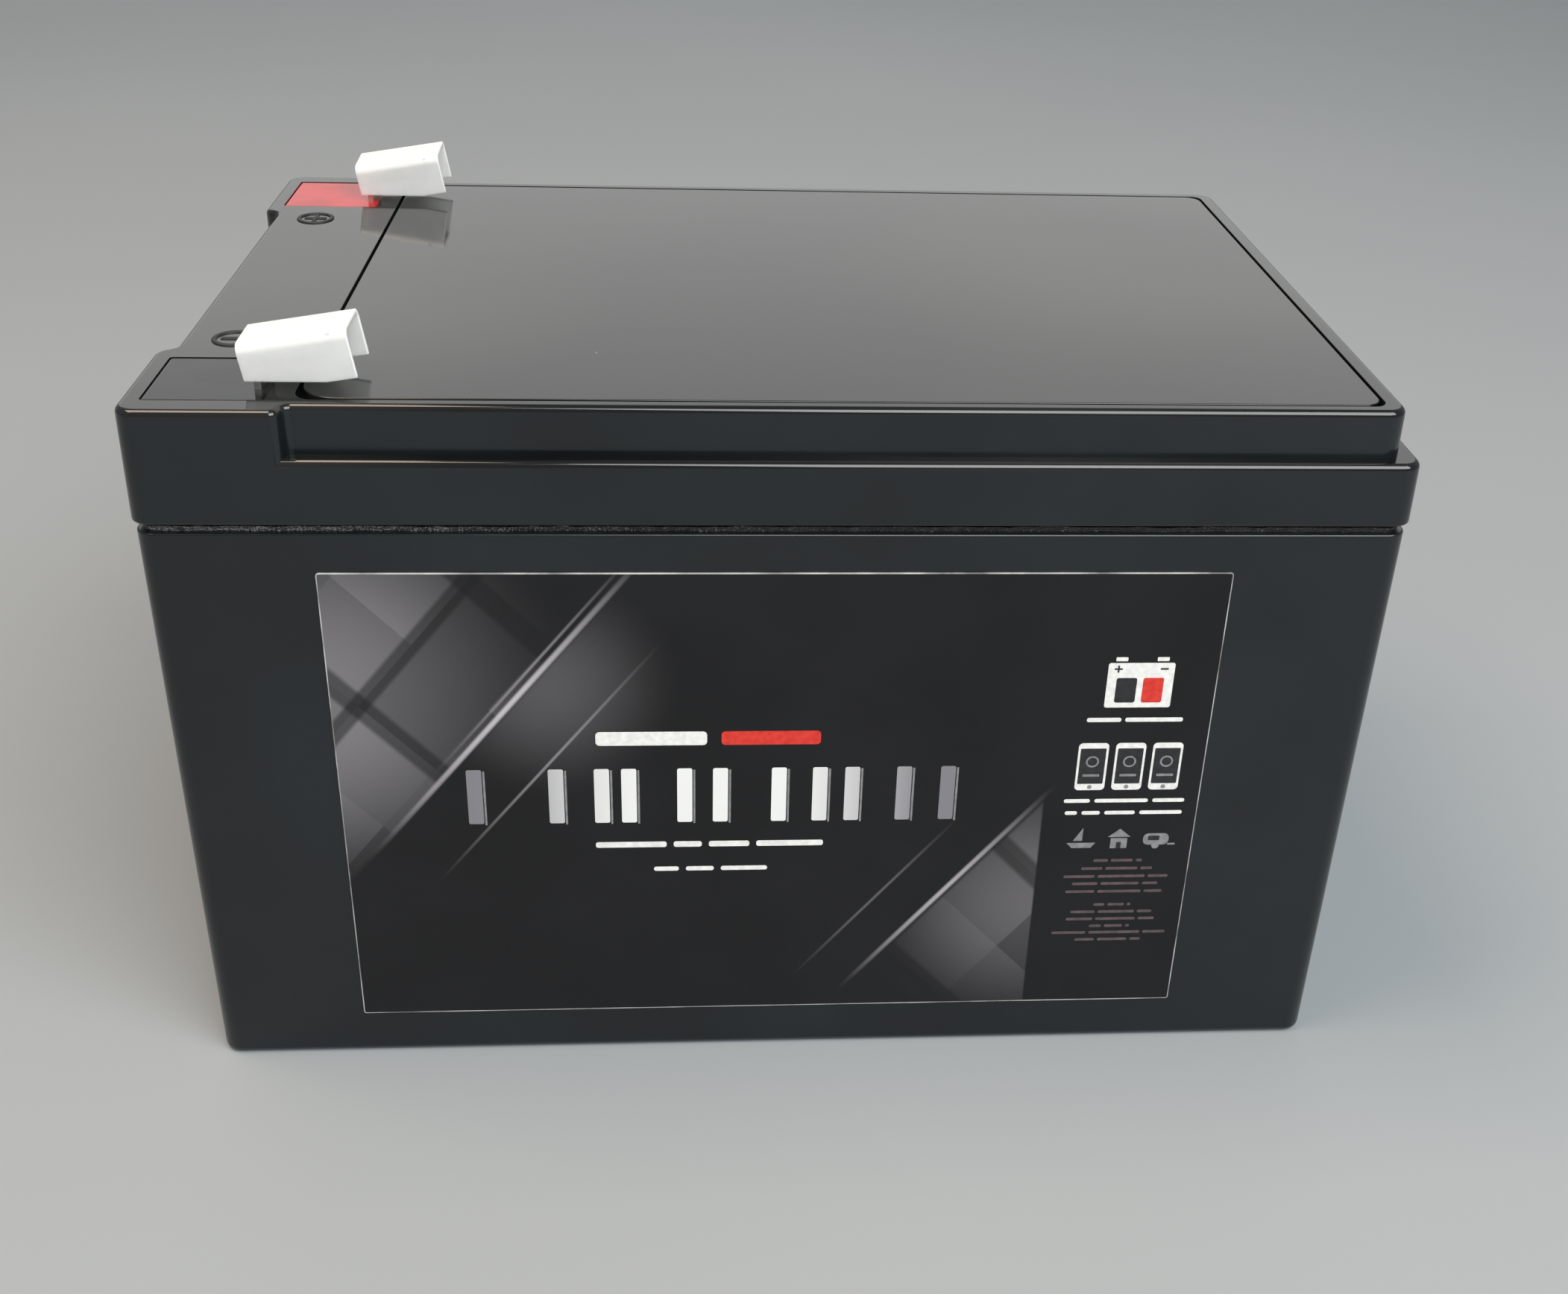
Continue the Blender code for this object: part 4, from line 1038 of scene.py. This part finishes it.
# %% The middle of the label
MIDDLE_X = -9.4
for place_x in (-38.4, -28.3, -22.6, -19.2, -12.2, -7.7, -0.3, 4.9, 9.0, 15.6, 21.2):
    bar("silver", place_x, 41.8, 1.9, 8.2, 0.25)
    bar("grey", place_x + 1.2, 41.6, 0.25, 8.2, 0.08)
bar("white", -16.3, 50.4, 13.8, 2.0, 0.5)
bar("red", -1.4, 50.4, 12.4, 2.0, 0.5)
dashes("white", MIDDLE_X + 0.4, 34.2, [9.0, 3.6, 5.2, 8.6], 0.85)
dashes("white", MIDDLE_X + 0.5, 30.3, [3.2, 3.6, 6.0], 0.65)
print("silver ink so far:", len(sheets["silver"].faces), "faces")

# %% [markdown]
# ### The column of signs
#
# A battery sign with a plus and a minus, three little meter faces, and a boat, a house and a caravan for the
# places where such a battery is used. They are built like paper cut-outs, from bars, discs and short outlines.

# %% The column on the right
COLUMN_X = 44.4


def disc(name, x, z, radius, layer=0):
    """A round spot of ink."""
    flat = bmesh.new()
    bmesh.ops.create_circle(flat, cap_ends=True, segments=24, radius=radius)
    stamp(name, flat, x, z, layer)


def cut_out(name, x, z, corners, layer=0):
    """A shape given by its corners."""
    stamp(name, plan([(a, b, 0) for a, b in corners]), x, z, layer)


def bars(*rows):
    """Bars given as ink, distance from the column's middle, height, size, corner and layer."""
    for name, x, *rest in rows:
        bar(name, COLUMN_X + x, *rest)


for side, arms in ((-1, 4), (1, 2)):
    bars(("white", side * 2.6, 61.6, 1.5, 0.55, 0.1))
    stamp("dark", sign(arms, 0.5, 0.22), COLUMN_X + side * 2.9, 60.2, 1)
bars(("white", 0, 57.8, 8.4, 6.5, 0.3), ("dark", -1.7, 57.1, 2.6, 3.6, 0.3, 1), ("red", 1.7, 57.1, 2.6, 3.6, 0.3, 1))
for x in (-4.8, 0, 4.8):
    bars(("white", x, 45.6, 3.9, 7.2, 0.55), ("dark", x, 45.7, 3.3, 5.4, 0.15, 1),
         ("grey", x, 44.3, 2.2, 0.35, 0.1, 2))
    stamp("grey", ring(0.85, 0.22, 24), COLUMN_X + x, 46.4, 2)
    disc("grey", COLUMN_X + x, 42.5, 0.3, 1)
cut_out("grey", COLUMN_X - 5.0, 33.5, [(-1.9, 0.1), (-1.2, -0.7), (1.3, -0.7), (1.9, 0.1)])
cut_out("grey", COLUMN_X - 5.2, 34.9, [(-0.9, -0.95), (0.3, -0.95), (0.3, 1.1)])
cut_out("grey", COLUMN_X, 34.9, [(-1.5, -0.4), (1.5, -0.4), (0, 0.9)])
bars(("grey", 0, 33.5, 2.2, 1.6, 0.05), ("dark", 0, 33.2, 0.6, 1.0, 0.05, 1), ("grey", 4.9, 34.1, 3.4, 1.8, 0.7),
     ("grey", 7.0, 33.3, 1.0, 0.25, 0.05), ("dark", 4.6, 34.3, 1.5, 0.7, 0.15, 1))
disc("grey", COLUMN_X + 4.9, 33.1, 0.5, 1)
print("signs drawn in", sum(bool(sheet.faces) for sheet in sheets.values()), "inks")

# %% [markdown]
# ### Lines of type and the finished sheets
#
# The real print has words here. Plain dashes of about the words' lengths keep the look and say nothing. Last,
# every sheet of ink is moved from its own flat plane to the drafted wall and becomes a piece.

# %% Dashes, and a piece for each ink
dashes("white", COLUMN_X, 52.7, [4.4, 7.4], 0.6, 0.5)
dashes("white", COLUMN_X, 40.3, [3.4, 7.0, 4.2], 0.55, 0.6)
dashes("white", COLUMN_X + 0.1, 38.4, [1.6, 2.4, 4.0, 5.6], 0.55, 0.6)
SMALL_TYPE = ((30.7, 6.5), (29.4, 9.5), (28.1, 14.0), (26.9, 11.5), (25.6, 13.0),
              (23.4, 5.0), (22.2, 11.0), (21.0, 12.0), (19.8, 5.5), (18.7, 15.5), (17.5, 9.0))
for z, length in SMALL_TYPE:
    dashes("rose", COLUMN_X + 0.2, z, [length * 0.3, length * 0.45, length * 0.25 - 0.8], 0.42, 0.4)
for name, sheet in sheets.items():
    sheet.transform(LABEL_PLANE)
    finish_piece("label_ink_" + name, sheet, [INKS[name]], "battery")

# %% [markdown]
# ## What is inside
#
# The cells, boards and leads can't be seen while the case is whole, but they are real pieces and get real
# finishes. Their solids are kept as they are. They differ only in two colours, the size of the mottle in mm,
# the gloss, the grain's size and height in mm and its direction, so one table serves them all.

# %% Finishes of the inner pieces
FINISHES = {
    "cell_": ("pvc_sleeve_shrunk", "1f4f8f", "2a5ca0", 12, 0.32, 1.5, 0.02),
    "cell_holder": ("abs_black_moulded", "121315", "1a1b1d", 10, 0.4, 0.3, 0.01),
    "nickel_strip": ("nickel_sheet_rolled", "b9b7ae", "cbc9c1", 6, 0.28, 0.8, 0.005, METAL, (1, 12, 1)),
    "insulation_board": ("fibreglass_epoxy_pressed", "a8b27a", "b9c18b", 1.2, 0.42, 0.6, 0.01),
    "foam_pad": ("eva_foam_closed_cell", "1c1c1e", "29292b", 1.5, 0.85, 0.5, 0.12),
    "bms_board": ("solder_mask_green_cured", "0f5a33", "15683d", 5, 0.3, 0.7, 0.006),
    "bms_mosfet": ("epoxy_package_moulded", "17181a", "212224", 1.0, 0.5, 0.1, 0.004),
    "bms_heat_spreader": ("aluminium_extruded", "a9abad", "bcbec0", 4, 0.32, 0.6, 0.006, METAL, (1, 10, 1)),
    "wireless_module": ("epoxy_package_moulded_fine", "1b1d20", "25272a", 1.2, 0.42, 0.1, 0.003),
    "balance_connector": ("nylon_white_moulded", "d9d5c6", "e6e2d5", 2.0, 0.4, 0.2, 0.006),
    "lead_positive": ("silicone_red_extruded", "a81a18", "bb2420", 4, 0.5, 0.3, 0.01),
    "lead_negative": ("silicone_black_extruded", "141415", "1e1e20", 4, 0.5, 0.3, 0.01),
    "balance_lead": ("pvc_lead_extruded", "8e1f1c", "a02a26", 3, 0.4, 0.2, 0.005),
    "temperature_probe": ("epoxy_bead_on_lead", "101012", "1c1c1f", 1.5, 0.35, 0.3, 0.01),
}
made = {}
for prefix, (name, first, second, patch, gloss, size, height, *rest) in FINISHES.items():
    fixed, drawn = rest or ({}, (1, 1, 1))
    made[prefix] = surface(name, fixed, (first, second, patch * MM), (gloss, gloss * 1.35, patch * MM),
                           (size * MM, height * MM), drawn)
for name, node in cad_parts.items():
    prefixes = [prefix for prefix in made if name.startswith(prefix)]
    if prefixes:
        node.data.materials.clear()
        node.data.materials.append(made[max(prefixes, key=len)])
print("finishes for the inner solids:", len(made))

# %% [markdown]
# ## Floor and light
#
# The floor is a plain pale disc, only as large as the lights reach, so that it doesn't end in a dark band. The
# lid is a mirror, so what matters is less how much light there is than what the lid sees: a wide soft panel
# behind the battery fills its top with an even grey. A warm key light high on the left whitens the caps and
# draws the fine lines on the rounded edges, and a cool fill in front on the right lights the walls and label.

# %% The floor
# Pale matt paint with the faintest unevenness.
FLOOR_PAINT = surface("floor_paint_matt", {"Specular IOR Level": 0.2}, ("8e9397", "92979b", 0.4),
                      (0.7, 0.8, 0.1))
floor_mesh = bmesh.new()
bmesh.ops.create_circle(floor_mesh, cap_ends=True, segments=128, radius=1.05)
shift(floor_mesh, 0, 0, -0.1 * MM)
floor = as_object("floor", floor_mesh)
floor.data.materials.append(FLOOR_PAINT)
print("the floor is", floor.dimensions.x, "m across")

# %% [markdown]
# ### The lights
#
# An area light's power in watts says little by itself: a larger panel of the same power is dimmer. So each
# panel is given by its radiance, which is what a mirror shows of it, and the power is worked out.

# %% The lights
def panel(name, place, aim, size, radiance, tint):
    """A rectangular soft light that faces a point; radiance is what a mirror would show."""
    data = bpy.data.lights.new(name, "AREA")
    data.shape = "RECTANGLE"
    data.size, data.size_y = size
    data.energy = radiance * pi * size[0] * size[1]
    data.color = colour(tint)[:3]
    light = bpy.data.objects.new(name, data)
    scene.collection.objects.link(light)
    direction = Vector(aim) - Vector(place)
    light.matrix_world = Matrix.Translation(place) @ direction.to_track_quat("-Z", "Y").to_matrix().to_4x4()
    print(name, "gives", round(data.energy, 2), "W")


panel("behind", (0, 0.95, 0.45), (0, 0, 0.1), (1.4, 0.5), 0.82, "fbfcf8")
panel("warm key", (-0.36, -0.05, 0.87), (0, 0, 0.09), (0.5, 0.45), 8, "ffe6cc")
panel("cool fill", (0.35, -0.6, 0.8), (0, 0, 0.09), (0.9, 0.7), 7.8, "f8faf8")

world = bpy.data.worlds.new("studio")
world.use_nodes = True
background = world.node_tree.nodes["Background"]
background.inputs["Color"].default_value = colour("e6e8ea")
background.inputs["Strength"].default_value = 0.4
scene.world = world
